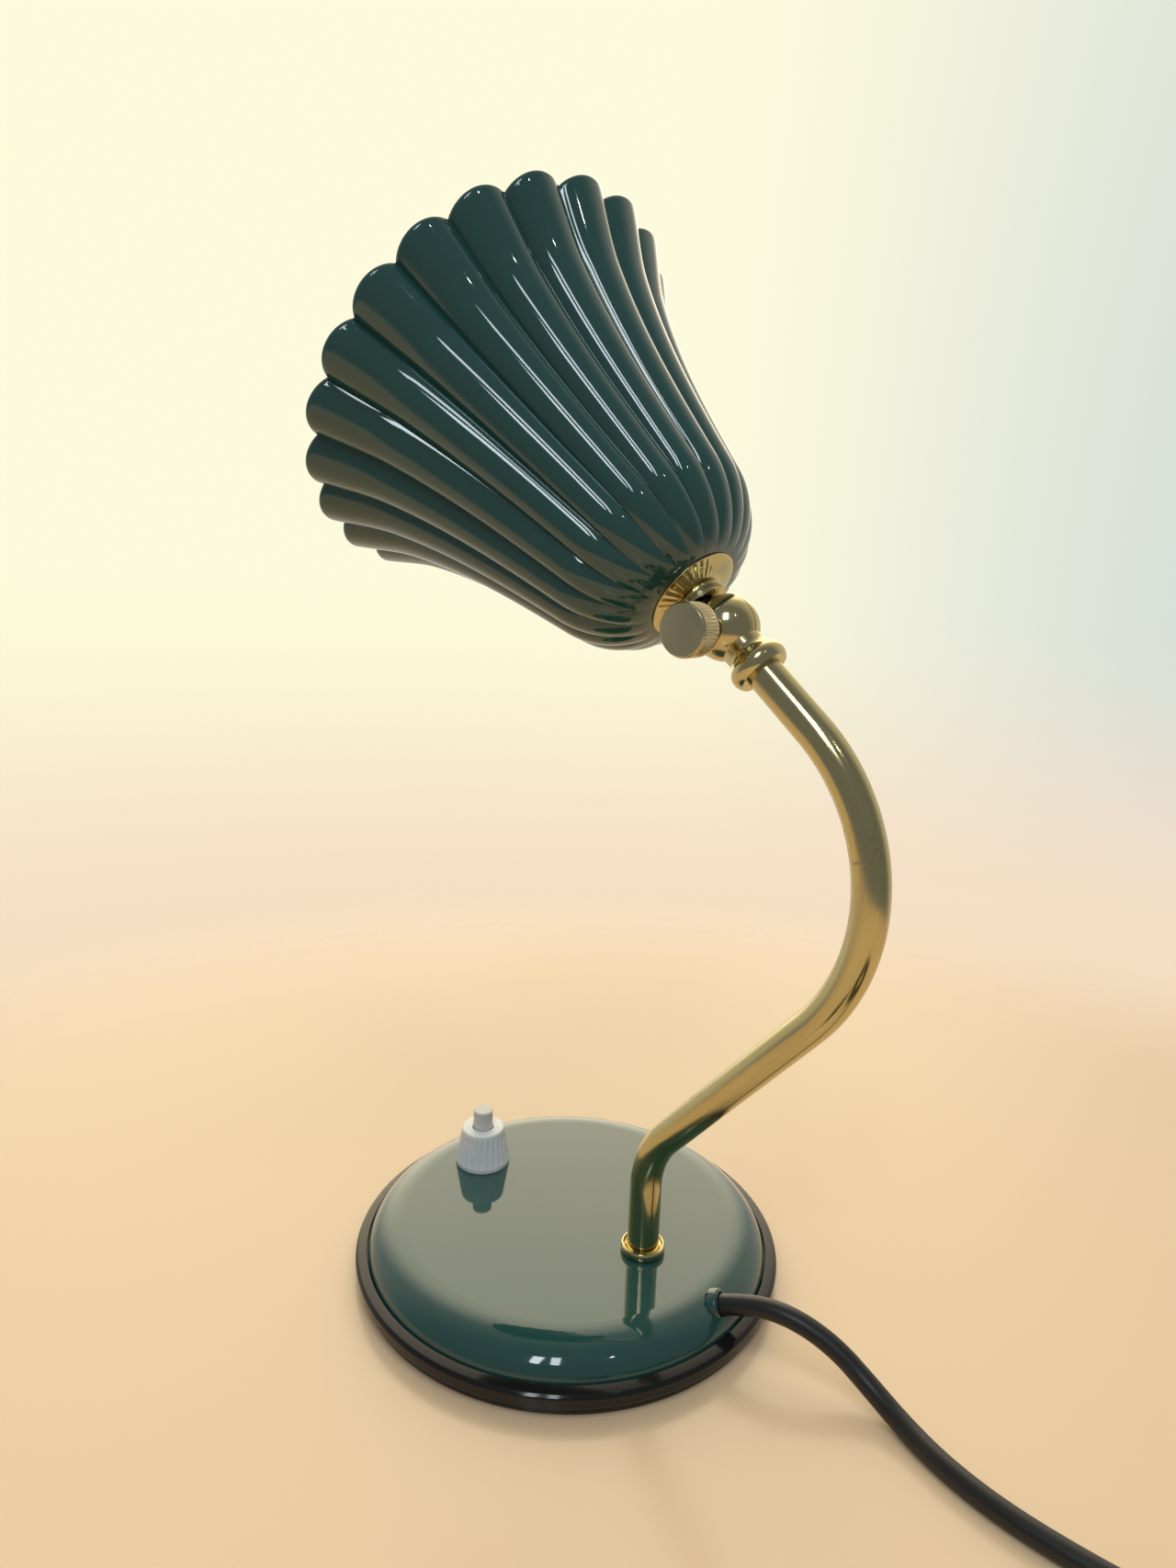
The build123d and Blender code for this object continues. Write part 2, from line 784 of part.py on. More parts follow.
with BuildPart() as holder_skirt:
    skirt_bore = insert_radius - skirt_ledge
    skirt_end = cup_end + holder_skirt_length
    skirt_points = [
        (skirt_bore, insert_end),
        (cup_bore - screw_gap, insert_end),
        (cup_bore - screw_gap, cup_end),
        (holder_radius, cup_end),
        (holder_skirt_radius, skirt_end),
        (skirt_bore, skirt_end),
    ]
    revolve(outline(head_profile, skirt_points), axis=head_axis)

# Bulb: screw cap and hollow glass globe
button_start = insert_end + tongue_thickness
cap_start = button_start + bulb_button_height
cap_end = button_start + bulb_length - 2 * globe_radius - globe_neck_length
with BuildPart() as bulb_cap:
    cap_points = [
        (0, button_start),
        (bulb_button_radius, button_start),
        (bulb_button_radius, cap_start),
        (bulb_cap_radius, cap_start + bulb_button_height),
        (bulb_cap_radius, cap_end),
        (0, cap_end),
    ]
    revolve(outline(head_profile, cap_points), axis=head_axis)

globe_centre = button_start + bulb_length - globe_radius


def globe_profile(radius, neck, start, tip):
    # Neck cone that runs tangent into the ball
    reach = math.hypot(neck, globe_centre - start)
    swing = math.atan2(neck, globe_centre - start) + math.acos(radius / reach)
    touch = (radius * math.sin(swing), globe_centre - radius * math.cos(swing))
    with BuildSketch(head_profile) as sketch:
        with BuildLine():
            Polyline((0, tip), (0, start), (neck, start), touch)
            ThreePointArc(touch, (radius, globe_centre), (0, tip))
        make_face()
    return sketch.sketch


with BuildPart() as bulb_globe:
    revolve(
        globe_profile(globe_radius, globe_neck_radius, cap_end, globe_centre + globe_radius),
        axis=head_axis)
    revolve(
        globe_profile(
            globe_radius - globe_wall,
            globe_neck_radius - globe_wall,
            cap_end + globe_wall,
            globe_centre + globe_radius - globe_wall),
        axis=head_axis,
        mode=Mode.SUBTRACT)

# Terminal block on the plate
lead_height = plate_top + inner_cord_clearance + lead_radius
with BuildPart() as terminal_block:
    with BuildSketch(Plane((0, terminal_y, plate_top))):
        RectangleRounded(terminal_width, terminal_length, terminal_corner)
    extrude(amount=terminal_height)

# Twin lead from the terminal block up through the arm
with BuildPart() as arm_lead:
    with BuildLine(Plane.YZ) as lead_line:
        lead_corner = [
            (terminal_y + terminal_length / 2, lead_height),
            (arm_y, lead_height),
            (arm_y, cover_top + arm_rise),
        ]
        lead_foot = FilletPolyline(lead_corner, radius=1.5 * lead_radius)
        lead_bend = JernArc(lead_foot @ 1, lead_foot % 1, lower_bend_radius, -lower_bend_angle)
        lead_slope = PolarLine(lead_bend @ 1, arm_straight_length, direction=lead_bend % 1)
        lead_top = JernArc(lead_slope @ 1, lead_slope % 1, upper_bend_radius, upper_bend_angle)
        PolarLine(lead_top @ 1, arm_tip_length + knuckle_socket_depth, direction=lead_top % 1)
    with BuildSketch(Plane(origin=lead_line.line @ 0, z_dir=(0, 1, 0))):
        Circle(lead_radius)
    sweep(path=lead_line.line)

# Twin lead in the tilting head, beside the thumb screw's shank
with BuildPart() as head_lead:
    lead_start = Plane(
        origin=pivot - Vector(head_lead_radius + 2 * half_gap, 0, 0) + head_way * knuckle_pocket_radius,
        z_dir=head_way)
    extrude(disc(lead_start, head_lead_radius), amount=cup_floor - knuckle_pocket_radius)

# Lead from the terminal block to the switch
terminal_front = terminal_y - terminal_length / 2
switch_back = switch_y + switch_width / 2
switch_lead_route = [
    (0, terminal_front, lead_height),
    (0, terminal_front - lead_stub, lead_height),
    (lead_bow, (terminal_front + switch_back) / 2, lead_height),
    (0, switch_back + lead_stub, lead_height),
    (0, switch_back, lead_height),
]
with BuildPart() as switch_lead:
    switch_lead_path = cord_path(switch_lead_route)
    sweep(tube(switch_lead_path, lead_radius), path=switch_lead_path)

# Inner end of the mains cord, from the hole to the terminal block
inner_height = plate_top + inner_cord_clearance + cord_radius
inner_start = cord_exit - cord_way * inner_cord_run
inner_route = [
    tuple(cord_exit),
    (inner_start.X, inner_start.Y, max(inner_start.Z, inner_height)),
    (14.0, cover_radius - 28.0, inner_height),
    (20.0, cover_radius - 40.0, inner_height),
    (19.0, cover_radius - 54.0, inner_height),
    (13.0, terminal_y, inner_height),
    (terminal_width / 2, terminal_y, inner_height),
]
with BuildPart() as inner_cord:
    inner_path = cord_path(inner_route)
    sweep(tube(inner_path, cord_radius), path=inner_path)

# Grip ring on the cord inside the cover
inner_way = (Vector(inner_route[1]) - cord_exit).normalized()
with BuildPart() as cord_grip:
    extrude(
        disc(
            Plane(origin=cord_exit + inner_way * grip_start, z_dir=inner_way),
            grip_radius,
            cord_radius + thread_gap),
        amount=grip_length)

# Free stretch of the mains cord
with BuildPart() as cord_run:
    run_path = cord_path(cord_route)
    sweep(tube(run_path, cord_radius), path=run_path)
print("cord radii", [round(radius, 1) for radius in bend_radii(cord_route)])
run_volume = math.pi * cord_radius ** 2 * run_path.length
print("cord run volume", round(cord_run.part.volume / run_volume, 4))

# Coil of the rest of the cord: spirals in on the floor, climbs and spirals out on top
coil_arrival = Vector(cord_route[-1]) + Vector(0, 2 * cord_radius, 0)
coil_centre = coil_arrival + Vector(coil_outer_radius, 0, 0)


def coil_place(turn):
    reversal = coil_turns + 0.25
    angle = 2 * math.pi * turn
    radius = coil_outer_radius - coil_pitch * (reversal - abs(turn - reversal))
    climb = min(max(turn - coil_turns, 0), 0.5)
    height = coil_layer * (1 - math.cos(2 * math.pi * climb)) / 2
    return coil_centre + Vector(-radius * math.cos(angle), radius * math.sin(angle), height)


coil_length_turns = 2 * coil_turns + 0.5
coil_edges = wound_edges(coil_place, coil_length_turns)
tail_start = coil_edges[-1] @ 1
tail_end = tail_start + Vector(cord_radius, -coil_tail_run, -coil_tail_drop)
tail_way = Vector(0, -1, 0)
plug_rear = tail_end + tail_way * 2 * cord_radius
coil_edges = (
    [Edge.make_line(Vector(cord_route[-1]), coil_arrival)]
    + biarc(coil_arrival, Vector(0, 1, 0), coil_edges[1] @ 1, coil_edges[1] % 1)
    + coil_edges[2:]
    + biarc(tail_start, coil_edges[-1] % 1, tail_end, tail_way)
    + [Edge.make_line(tail_end, plug_rear)]
)
with BuildPart() as cord_coil:
    coil_path = Wire(coil_edges)
    with BuildSketch(Plane(origin=cord_route[-1], x_dir=(1, 0, 0), z_dir=(0, 1, 0))):
        RegularPolygon(cord_radius, 8)
    sweep(path=coil_path)
print("pivot", pivot)
print("coil gap", round(least_gap(coil_place, coil_length_turns, cord_radius), 2))
print("cord length", round(run_path.length + coil_path.length, 1))

# Tie round the coil
tie_out = coil_outer_radius - coil_pitch * 0.25 + cord_radius + 2 * tie_gap
tie_in = coil_outer_radius - coil_pitch * (coil_turns - 0.25) - cord_radius - 2 * tie_gap
tie_low = -cord_radius - tie_gap
tie_high = coil_layer + cord_radius + tie_gap
with BuildPart() as coil_tie:
    tie_middle = coil_centre + Vector(0, (tie_out + tie_in) / 2, (tie_low + tie_high) / 2)
    tie_plane = Plane(origin=tie_middle, x_dir=(0, 1, 0), z_dir=(1, 0, 0))
    with BuildSketch(tie_plane):
        RectangleRounded(
            tie_out - tie_in + 2 * tie_thickness,
            tie_high - tie_low + 2 * tie_thickness,
            tie_thickness + tie_gap)
        RectangleRounded(tie_out - tie_in, tie_high - tie_low, tie_gap, mode=Mode.SUBTRACT)
    extrude(amount=tie_width / 2, both=True)

# Flat two-pin plug lying on the floor at the end of the cord
plug_back = plug_rear.Y - plug_collar_length
plug_front = plug_back - plug_length
plug_middle = plug_rear.X
with BuildPart() as plug_body:
    with BuildSketch(Plane((plug_middle, 0, plug_rear.Z - plug_thickness / 2))):
        with BuildLine():
            Polyline(
                (-plug_width / 2, plug_front),
                (plug_width / 2, plug_front),
                (plug_width / 2, plug_front + plug_nose_length),
                (plug_width / 3, plug_back),
                (-plug_width / 3, plug_back),
                (-plug_width / 2, plug_front + plug_nose_length),
                close=True)
        make_face()
    extrude(amount=plug_thickness)
    fillet(plug_body.edges().filter_by(Axis.Z), plug_thickness / 6)
    fillet(plug_body.faces().sort_by(Axis.Z)[-1].edges(), plug_thickness / 6)
    fillet(plug_body.faces().sort_by(Axis.Z)[0].edges(), plug_thickness / 6)
    with BuildSketch(Plane(origin=plug_rear, z_dir=(0, -1, 0))):
        Circle(cord_radius + 2 * screw_gap)
    with BuildSketch(Plane(origin=plug_rear, z_dir=(0, -1, 0)).offset(plug_collar_length)):
        Circle(plug_collar_radius)
    loft()

with BuildPart() as plug_pins:
    pin_plane = Plane((plug_middle, plug_front, plug_rear.Z), x_dir=(1, 0, 0), z_dir=(0, -1, 0))
    with BuildSketch(pin_plane):
        with GridLocations(pin_spacing, 0, 2, 1):
            Circle(pin_radius)
    extrude(amount=pin_length)
    fillet(plug_pins.faces().group_by(Axis.Y)[0].edges(), pin_radius / 2)

pieces = {
    "felt_pad": felt_pad,
    "base_plate": base_plate,
    "base_ring": base_ring,
    "base_cover": base_cover,
    "cover_posts": cover_posts,
    "plate_screws": plate_screws,
    "arm_tube": arm_tube,
    "arm_collar": arm_collar,
    "arm_washer": arm_washer,
    "arm_nut": arm_nut,
    "switch_body": switch_body,
    "switch_plunger": switch_plunger,
    "switch_spring": switch_spring,
    "switch_nut": switch_nut,
    "knuckle_lower": knuckle_lower,
    "knuckle_upper": knuckle_upper,
    "thumb_screw": thumb_screw,
    "neck_ring": neck_ring,
    "rosette": rosette,
    "shade": shade,
    "shade_washer": shade_washer,
    "shade_nut": shade_nut,
    "holder_cup": holder_cup,
    "holder_insert": holder_insert,
    "contact_sleeve": contact_sleeve,
    "contact_tongue": contact_tongue,
    "holder_skirt": holder_skirt,
    "bulb_cap": bulb_cap,
    "bulb_globe": bulb_globe,
    "terminal_block": terminal_block,
    "arm_lead": arm_lead,
    "head_lead": head_lead,
    "switch_lead": switch_lead,
    "inner_cord": inner_cord,
    "cord_grip": cord_grip,
    "cord_run": cord_run,
    "cord_coil": cord_coil,
    "coil_tie": coil_tie,
    "plug_body": plug_body,
    "plug_pins": plug_pins,
}
for label, piece in pieces.items():
    piece.part.label = label
    export_step(piece.part, f"parts/{label}.step")
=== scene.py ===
import math

import bpy
import numpy as np
from mathutils import Matrix, Vector


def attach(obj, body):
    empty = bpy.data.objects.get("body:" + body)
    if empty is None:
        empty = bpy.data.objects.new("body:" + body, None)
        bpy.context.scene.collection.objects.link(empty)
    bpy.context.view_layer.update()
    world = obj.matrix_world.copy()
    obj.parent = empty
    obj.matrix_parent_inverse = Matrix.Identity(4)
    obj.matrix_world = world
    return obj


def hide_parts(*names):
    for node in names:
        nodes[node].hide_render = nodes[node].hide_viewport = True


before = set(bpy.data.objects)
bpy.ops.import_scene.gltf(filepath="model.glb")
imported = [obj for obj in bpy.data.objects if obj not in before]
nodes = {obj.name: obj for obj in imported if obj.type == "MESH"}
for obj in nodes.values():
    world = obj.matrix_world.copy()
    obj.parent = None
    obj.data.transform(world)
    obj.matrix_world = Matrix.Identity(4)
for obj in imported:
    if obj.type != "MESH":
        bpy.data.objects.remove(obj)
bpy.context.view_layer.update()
scene = bpy.context.scene
scene.view_settings.view_transform = "Standard"
mm = 0.001  # every shape below is worked out in millimetres
print("frame loaded,", len(nodes), "nodes")


# Camera, fitted to the photo's foot, arm and rim
cameraSettings = {
    "place": (231.872, 194.000, 229.711),
    "yaw": -2.4511,
    "pitch": 0.2177,
    "roll": -0.0341,
    "focalPixels": 1101.84,
    "longSide": 1707,
    "sensor": 36.0,
}


def makeCamera(settings):
    yaw, pitch, roll = settings["yaw"], settings["pitch"], settings["roll"]
    forward = Vector((math.cos(yaw) * math.cos(pitch), math.sin(yaw) * math.cos(pitch), -math.sin(pitch)))
    right = forward.cross(Vector((0, 0, 1))).normalized()
    down = forward.cross(right)
    rolledRight = right * math.cos(roll) + down * math.sin(roll)
    rolledDown = down * math.cos(roll) - right * math.sin(roll)
    data = bpy.data.cameras.new("photoCamera")
    data.sensor_width = settings["sensor"]
    data.lens = settings["focalPixels"] / settings["longSide"] * settings["sensor"]
    data.clip_start = 0.01
    camera = bpy.data.objects.new("photoCamera", data)
    turn = Matrix((rolledRight, -rolledDown, -forward)).transposed().to_4x4()
    camera.matrix_world = Matrix.Translation(Vector(settings["place"]) * mm) @ turn
    scene.collection.objects.link(camera)
    scene.camera = camera


makeCamera(cameraSettings)
print("camera placed")


# Lines that several pieces share
armLine = {
    "footY": 31.4,
    "bottom": 9.8,
    "riseFrom": 14,
    "rise": 39.7,
    "lowerRadius": 30.0,
    "lowerTurn": 40.5,
    "slope": 66.8,
    "upperRadius": 56.6,
    "upperTurn": 89.9,
    "tip": 21.1,
    "socket": 5.0,
    "reach": 15.2,
    "risePoints": 8,
    "lowerSteps": 24,
    "slopePoints": 13,
    "upperSteps": 64,
    "tipPoints": 8,
}
coverTop = 16.5


def turned(vector, angle):
    c, s = math.cos(angle), math.sin(angle)
    return np.array((c * vector[0] - s * vector[1], s * vector[0] + c * vector[1]))


def bendPoints(start, way, radius, angle, steps):
    # an arc that starts at a point in a direction; a positive angle turns left
    side = turned(way, math.copysign(math.pi / 2, angle))
    centre = start + side * radius
    turns = np.linspace(0, angle, steps + 1)[1:]
    points = np.array([centre + turned(start - centre, t) for t in turns])
    return points, turned(way, angle)


def armCentreLine(settings):
    # straight foot, bend to the rear, straight slope, long bend to the front, straight tip
    points = [np.array((settings["footY"], settings["bottom"]))]
    heights = np.linspace(settings["riseFrom"], settings["rise"], settings["risePoints"])
    points += [np.array((settings["footY"], z)) for z in heights]
    way = np.array((0.0, 1.0))
    lowerTurn, upperTurn = math.radians(settings["lowerTurn"]), math.radians(settings["upperTurn"])
    lower, way = bendPoints(points[-1], way, settings["lowerRadius"], -lowerTurn, settings["lowerSteps"])
    points += list(lower)
    slope = np.linspace(0, settings["slope"], settings["slopePoints"])[1:]
    points += [points[-1] + way * d for d in slope]
    upper, way = bendPoints(points[-1], way, settings["upperRadius"], upperTurn, settings["upperSteps"])
    points += list(upper)
    end = points[-1] + way * settings["tip"]
    tip = np.linspace(0, settings["tip"] + settings["socket"], settings["tipPoints"])[1:]
    points += [points[-1] + way * d for d in tip]
    line = np.array([(0.0, p[0], p[1]) for p in points])
    return line, np.array((0.0, end[0], end[1])), np.array((0.0, way[0], way[1]))


armPoints, armEnd, armWay = armCentreLine(armLine)
pivot = armEnd + armWay * armLine["reach"]
tilt = math.radians(36.8)
headWay = np.array((0.0, -math.cos(tilt), math.sin(tilt)))
acrossX = np.array((1.0, 0.0, 0.0))
upZ = np.array((0.0, 0.0, 1.0))
shadeStart = 14.1


def axisFrame(way):
    # two directions square to an axis, the first along X where that is possible
    way = way / np.linalg.norm(way)
    first = acrossX if abs(way[0]) < 0.9 else np.array((0.0, 1.0, 0.0))
    first = first - way * first.dot(way)
    first = first / np.linalg.norm(first)
    return first, np.cross(way, first), way


def gridFaces(rows, columns, closeRows, closeColumns):
    # quads of a grid of points, joined round where asked
    r = np.arange(rows if closeRows else rows - 1)
    c = np.arange(columns if closeColumns else columns - 1)
    row, column = np.meshgrid(r, c, indexing="ij")
    nextRow, nextColumn = (row + 1) % rows, (column + 1) % columns
    quads = np.stack((
        row * columns + column,
        row * columns + nextColumn,
        nextRow * columns + nextColumn,
        nextRow * columns + column), axis=-1)
    return quads.reshape(-1, 4)


def welded(points, quads):
    # points that coincide become one; a quad at a pole then repeats a corner
    keysPerMillimetre = 20000
    keys = np.round(points * keysPerMillimetre).astype(np.int64)
    _, first, index = np.unique(keys, axis=0, return_index=True, return_inverse=True)
    return points[first], index.reshape(-1)[quads], first


def signedVolume(points, quads):
    a, b, c, d = (points[quads[:, k]] for k in range(4))
    return (np.cross(b - a, c - a) * a).sum() + (np.cross(c - a, d - a) * a).sum()


def faceLists(quads):
    # quads that repeat a corner become triangles
    same = (quads == np.roll(quads, -1, axis=1)).any(axis=1)
    corners = [list(dict.fromkeys(quad)) for quad in quads[same].tolist()]
    return quads[~same].tolist() + [corner for corner in corners if len(corner) == 3]


def addPiece(name, points, quads, body, materials, replaced=(), sharp=40, inside=None, along=None):
    # a closed surface, turned to face outwards; inside marks the faces of the second material
    points = np.asarray(points, float)
    if signedVolume(points, quads) < 0:
        quads = quads[:, ::-1]
    mesh = bpy.data.meshes.new(name)
    mesh.from_pydata((points * mm).tolist(), [], faceLists(quads))
    mesh.polygons.foreach_set("use_smooth", np.ones(len(mesh.polygons), bool))
    mesh.set_sharp_from_angle(angle=math.radians(sharp))
    for material in materials:
        mesh.materials.append(material)
    if inside is not None:
        mesh.polygons.foreach_set("material_index", inside.astype(np.int32))
    if along is not None:
        flow = mesh.attributes.new("along", "FLOAT_VECTOR", "POINT")
        flow.data.foreach_set("vector", np.asarray(along, np.float32).ravel())
    mesh.update()
    piece = bpy.data.objects.new(name, mesh)
    scene.collection.objects.link(piece)
    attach(piece, body)
    if replaced:
        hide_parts(*replaced)
    return piece


def softProfile(corners, steps=5):
    # corners are (radius, height, rounding); each rounding becomes an arc
    corners = [np.array(c, float) for c in corners]
    points = []
    for k, corner in enumerate(corners):
        here, before, after = corner[:2], corners[k - 1][:2], corners[(k + 1) % len(corners)][:2]
        rounding = corner[2] if len(corner) > 2 else 0.0
        if rounding <= 0:
            points.append(here)
            continue
        back = (before - here) / np.linalg.norm(before - here)
        on = (after - here) / np.linalg.norm(after - here)
        half = math.acos(np.clip(back.dot(on), -1, 1)) / 2
        reach = rounding / math.tan(half)
        centre = here + (back + on) / np.linalg.norm(back + on) * rounding / math.sin(half)
        startArm, endArm = here + back * reach - centre, here + on * reach - centre
        for t in np.linspace(0, 1, steps + 1):
            arm = startArm * (1 - t) + endArm * t
            points.append(centre + arm / np.linalg.norm(arm) * rounding)
    return np.array(points)


def spun(profile, origin, way, count=128, shaped=None):
    # a closed profile of (radius, height) turned round an axis; shaped(angle, radius, height) may ripple it
    first, second, axis = axisFrame(np.asarray(way, float))
    angle = np.linspace(0, 2 * math.pi, count, endpoint=False)[None, :]
    radius = np.broadcast_to(profile[:, :1], (len(profile), count))
    height = np.broadcast_to(profile[:, 1:2], (len(profile), count))
    if shaped is not None:
        radius, height = shaped(angle, radius, height)
    points = (
        np.asarray(origin, float)
        + radius[..., None] * (np.cos(angle)[..., None] * first + np.sin(angle)[..., None] * second)
        + height[..., None] * axis)
    return welded(points.reshape(-1, 3), gridFaces(len(profile), count, True, True))[:2]


def smoothStep(value, low, high):
    # 0 below low, 1 above high, with a soft start and end
    t = np.clip((value - low) / (high - low), 0, 1)
    return t * t * (3 - 2 * t)


# Shared shading effects
effectSettings = {
    "driftDetail": 4,
    "scratchDetail": 2, "scratchWidth": 0.006, "scratchPatch": 45,
    "scratchWays": (((0.4, 0.2, 0.9), (1.0, 0.06, 0.3)), ((1.1, 0.7, -0.5), (0.08, 1.0, 0.4))),
    "speckPatch": 60,
    "handlingDetail": 5, "handlingRoughness": 0.6, "handlingMiddle": 0.4, "leastRoughness": 0.02,
    "drawnDetail": 4, "drawnFrom": 0.42, "drawnTo": 0.75,
    "grainDetail": 3,
    "speckRoughness": 0.3, "scratchRoughness": 0.15, "drawnRoughness": 0.12,
}


def newGroup(name, inputs, outputs):
    group = bpy.data.node_groups.new(name, "ShaderNodeTree")
    for label, kind, value in inputs:
        socket = group.interface.new_socket(label, in_out="INPUT", socket_type=kind)
        socket.default_value = value
    for label, kind in outputs:
        group.interface.new_socket(label, in_out="OUTPUT", socket_type=kind)
    return group, group.nodes.new("NodeGroupInput"), group.nodes.new("NodeGroupOutput")


def mathNode(tree, operation, first, second):
    node = tree.nodes.new("ShaderNodeMath")
    node.operation = operation
    for socket, value in zip(node.inputs, (first, second)):
        if isinstance(value, (int, float)):
            socket.default_value = value
        else:
            tree.links.new(value, socket)
    return node.outputs[0]


def makeToneDrift():
    # a colour that wanders a little lighter and darker over the surface
    group, given, made = newGroup(
        "toneDrift",
        [("Color", "NodeSocketColor", (1, 1, 1, 1)), ("Scale", "NodeSocketFloat", 20.0),
         ("Amount", "NodeSocketFloat", 0.1)],
        [("Color", "NodeSocketColor")])
    place = group.nodes.new("ShaderNodeTexCoord")
    noise = group.nodes.new("ShaderNodeTexNoise")
    noise.inputs["Detail"].default_value = effectSettings["driftDetail"]
    group.links.new(place.outputs["Object"], noise.inputs["Vector"])
    group.links.new(given.outputs["Scale"], noise.inputs["Scale"])
    swing = mathNode(group, "SUBTRACT", noise.outputs["Fac"], 0.5)
    swing = mathNode(group, "MULTIPLY", swing, given.outputs["Amount"])
    gain = mathNode(group, "MULTIPLY_ADD", swing, 2.0)
    gain.node.inputs[2].default_value = 1.0
    mix = group.nodes.new("ShaderNodeVectorMath")
    mix.operation = "SCALE"
    group.links.new(given.outputs["Color"], mix.inputs[0])
    group.links.new(gain, mix.inputs["Scale"])
    group.links.new(mix.outputs[0], made.inputs["Color"])
    return group


def makeFineScratches():
    # thin hairlines that run in two crossing directions, 1 on a scratch
    group, given, made = newGroup(
        "fineScratches",
        [("Scale", "NodeSocketFloat", 120.0), ("Cover", "NodeSocketFloat", 0.3)],
        [("Mask", "NodeSocketFloat")])
    place = group.nodes.new("ShaderNodeTexCoord")
    masks = []
    for turn, stretch in effectSettings["scratchWays"]:
        mapping = group.nodes.new("ShaderNodeMapping")
        mapping.inputs["Rotation"].default_value = turn
        mapping.inputs["Scale"].default_value = stretch
        noise = group.nodes.new("ShaderNodeTexNoise")
        noise.inputs["Detail"].default_value = effectSettings["scratchDetail"]
        group.links.new(place.outputs["Object"], mapping.inputs["Vector"])
        group.links.new(mapping.outputs["Vector"], noise.inputs["Vector"])
        group.links.new(given.outputs["Scale"], noise.inputs["Scale"])
        offset = mathNode(group, "SUBTRACT", noise.outputs["Fac"], 0.5)
        near = mathNode(group, "ABSOLUTE", offset, 0.0)
        line = mathNode(group, "LESS_THAN", near, effectSettings["scratchWidth"])
        masks.append(line)
    patch = group.nodes.new("ShaderNodeTexNoise")
    patch.inputs["Scale"].default_value = effectSettings["scratchPatch"]
    group.links.new(place.outputs["Object"], patch.inputs["Vector"])
    allowed = mathNode(group, "LESS_THAN", patch.outputs["Fac"], given.outputs["Cover"])
    both = mathNode(group, "MAXIMUM", masks[0], masks[1])
    group.links.new(mathNode(group, "MULTIPLY", both, allowed), made.inputs["Mask"])
    return group


def makeDustSpecks():
    # small scattered specks, 1 at the middle of a speck
    group, given, made = newGroup(
        "dustSpecks",
        [("Scale", "NodeSocketFloat", 400.0), ("Size", "NodeSocketFloat", 0.12),
         ("Cover", "NodeSocketFloat", 0.4)],
        [("Mask", "NodeSocketFloat")])
    place = group.nodes.new("ShaderNodeTexCoord")
    cells = group.nodes.new("ShaderNodeTexVoronoi")
    group.links.new(place.outputs["Object"], cells.inputs["Vector"])
    group.links.new(given.outputs["Scale"], cells.inputs["Scale"])
    close = mathNode(group, "LESS_THAN", cells.outputs["Distance"], given.outputs["Size"])
    patch = group.nodes.new("ShaderNodeTexNoise")
    patch.inputs["Scale"].default_value = effectSettings["speckPatch"]
    group.links.new(place.outputs["Object"], patch.inputs["Vector"])
    allowed = mathNode(group, "LESS_THAN", patch.outputs["Fac"], given.outputs["Cover"])
    group.links.new(mathNode(group, "MULTIPLY", close, allowed), made.inputs["Mask"])
    return group


def makeHandling():
    # roughness that varies in soft patches, as where a surface is touched
    group, given, made = newGroup(
        "handling",
        [("Roughness", "NodeSocketFloat", 0.2), ("Amount", "NodeSocketFloat", 0.1),
         ("Scale", "NodeSocketFloat", 30.0)],
        [("Roughness", "NodeSocketFloat")])
    place = group.nodes.new("ShaderNodeTexCoord")
    noise = group.nodes.new("ShaderNodeTexNoise")
    noise.inputs["Detail"].default_value = effectSettings["handlingDetail"]
    noise.inputs["Roughness"].default_value = effectSettings["handlingRoughness"]
    group.links.new(place.outputs["Object"], noise.inputs["Vector"])
    group.links.new(given.outputs["Scale"], noise.inputs["Scale"])
    swing = mathNode(group, "SUBTRACT", noise.outputs["Fac"], effectSettings["handlingMiddle"])
    extra = mathNode(group, "MULTIPLY", swing, given.outputs["Amount"])
    total = mathNode(group, "ADD", given.outputs["Roughness"], extra)
    least = mathNode(group, "MAXIMUM", total, effectSettings["leastRoughness"])
    group.links.new(least, made.inputs["Roughness"])
    return group


def makeDrawLines():
    # streaks along a swept piece, from its own attribute of (cosine, sine, run in millimetres)
    group, given, made = newGroup(
        "drawLines",
        [("Across", "NodeSocketFloat", 9.0), ("Along", "NodeSocketFloat", 0.02),
         ("Amount", "NodeSocketFloat", 0.5)],
        [("Mask", "NodeSocketFloat")])
    flow = group.nodes.new("ShaderNodeAttribute")
    flow.attribute_name = "along"
    parts = group.nodes.new("ShaderNodeSeparateXYZ")
    group.links.new(flow.outputs["Vector"], parts.inputs[0])
    joined = group.nodes.new("ShaderNodeCombineXYZ")
    for k, scale in enumerate(("Across", "Across", "Along")):
        group.links.new(mathNode(group, "MULTIPLY", parts.outputs[k], given.outputs[scale]), joined.inputs[k])
    noise = group.nodes.new("ShaderNodeTexNoise")
    noise.inputs["Scale"].default_value = 1.0
    noise.inputs["Detail"].default_value = effectSettings["drawnDetail"]
    group.links.new(joined.outputs[0], noise.inputs["Vector"])
    spread = group.nodes.new("ShaderNodeMapRange")
    spread.inputs["From Min"].default_value = effectSettings["drawnFrom"]
    spread.inputs["From Max"].default_value = effectSettings["drawnTo"]
    group.links.new(noise.outputs["Fac"], spread.inputs["Value"])
    streaks = mathNode(group, "MULTIPLY", spread.outputs[0], given.outputs["Amount"])
    group.links.new(streaks, made.inputs["Mask"])
    return group


toneDrift = makeToneDrift()
drawLines = makeDrawLines()
fineScratches = makeFineScratches()
dustSpecks = makeDustSpecks()
handling = makeHandling()


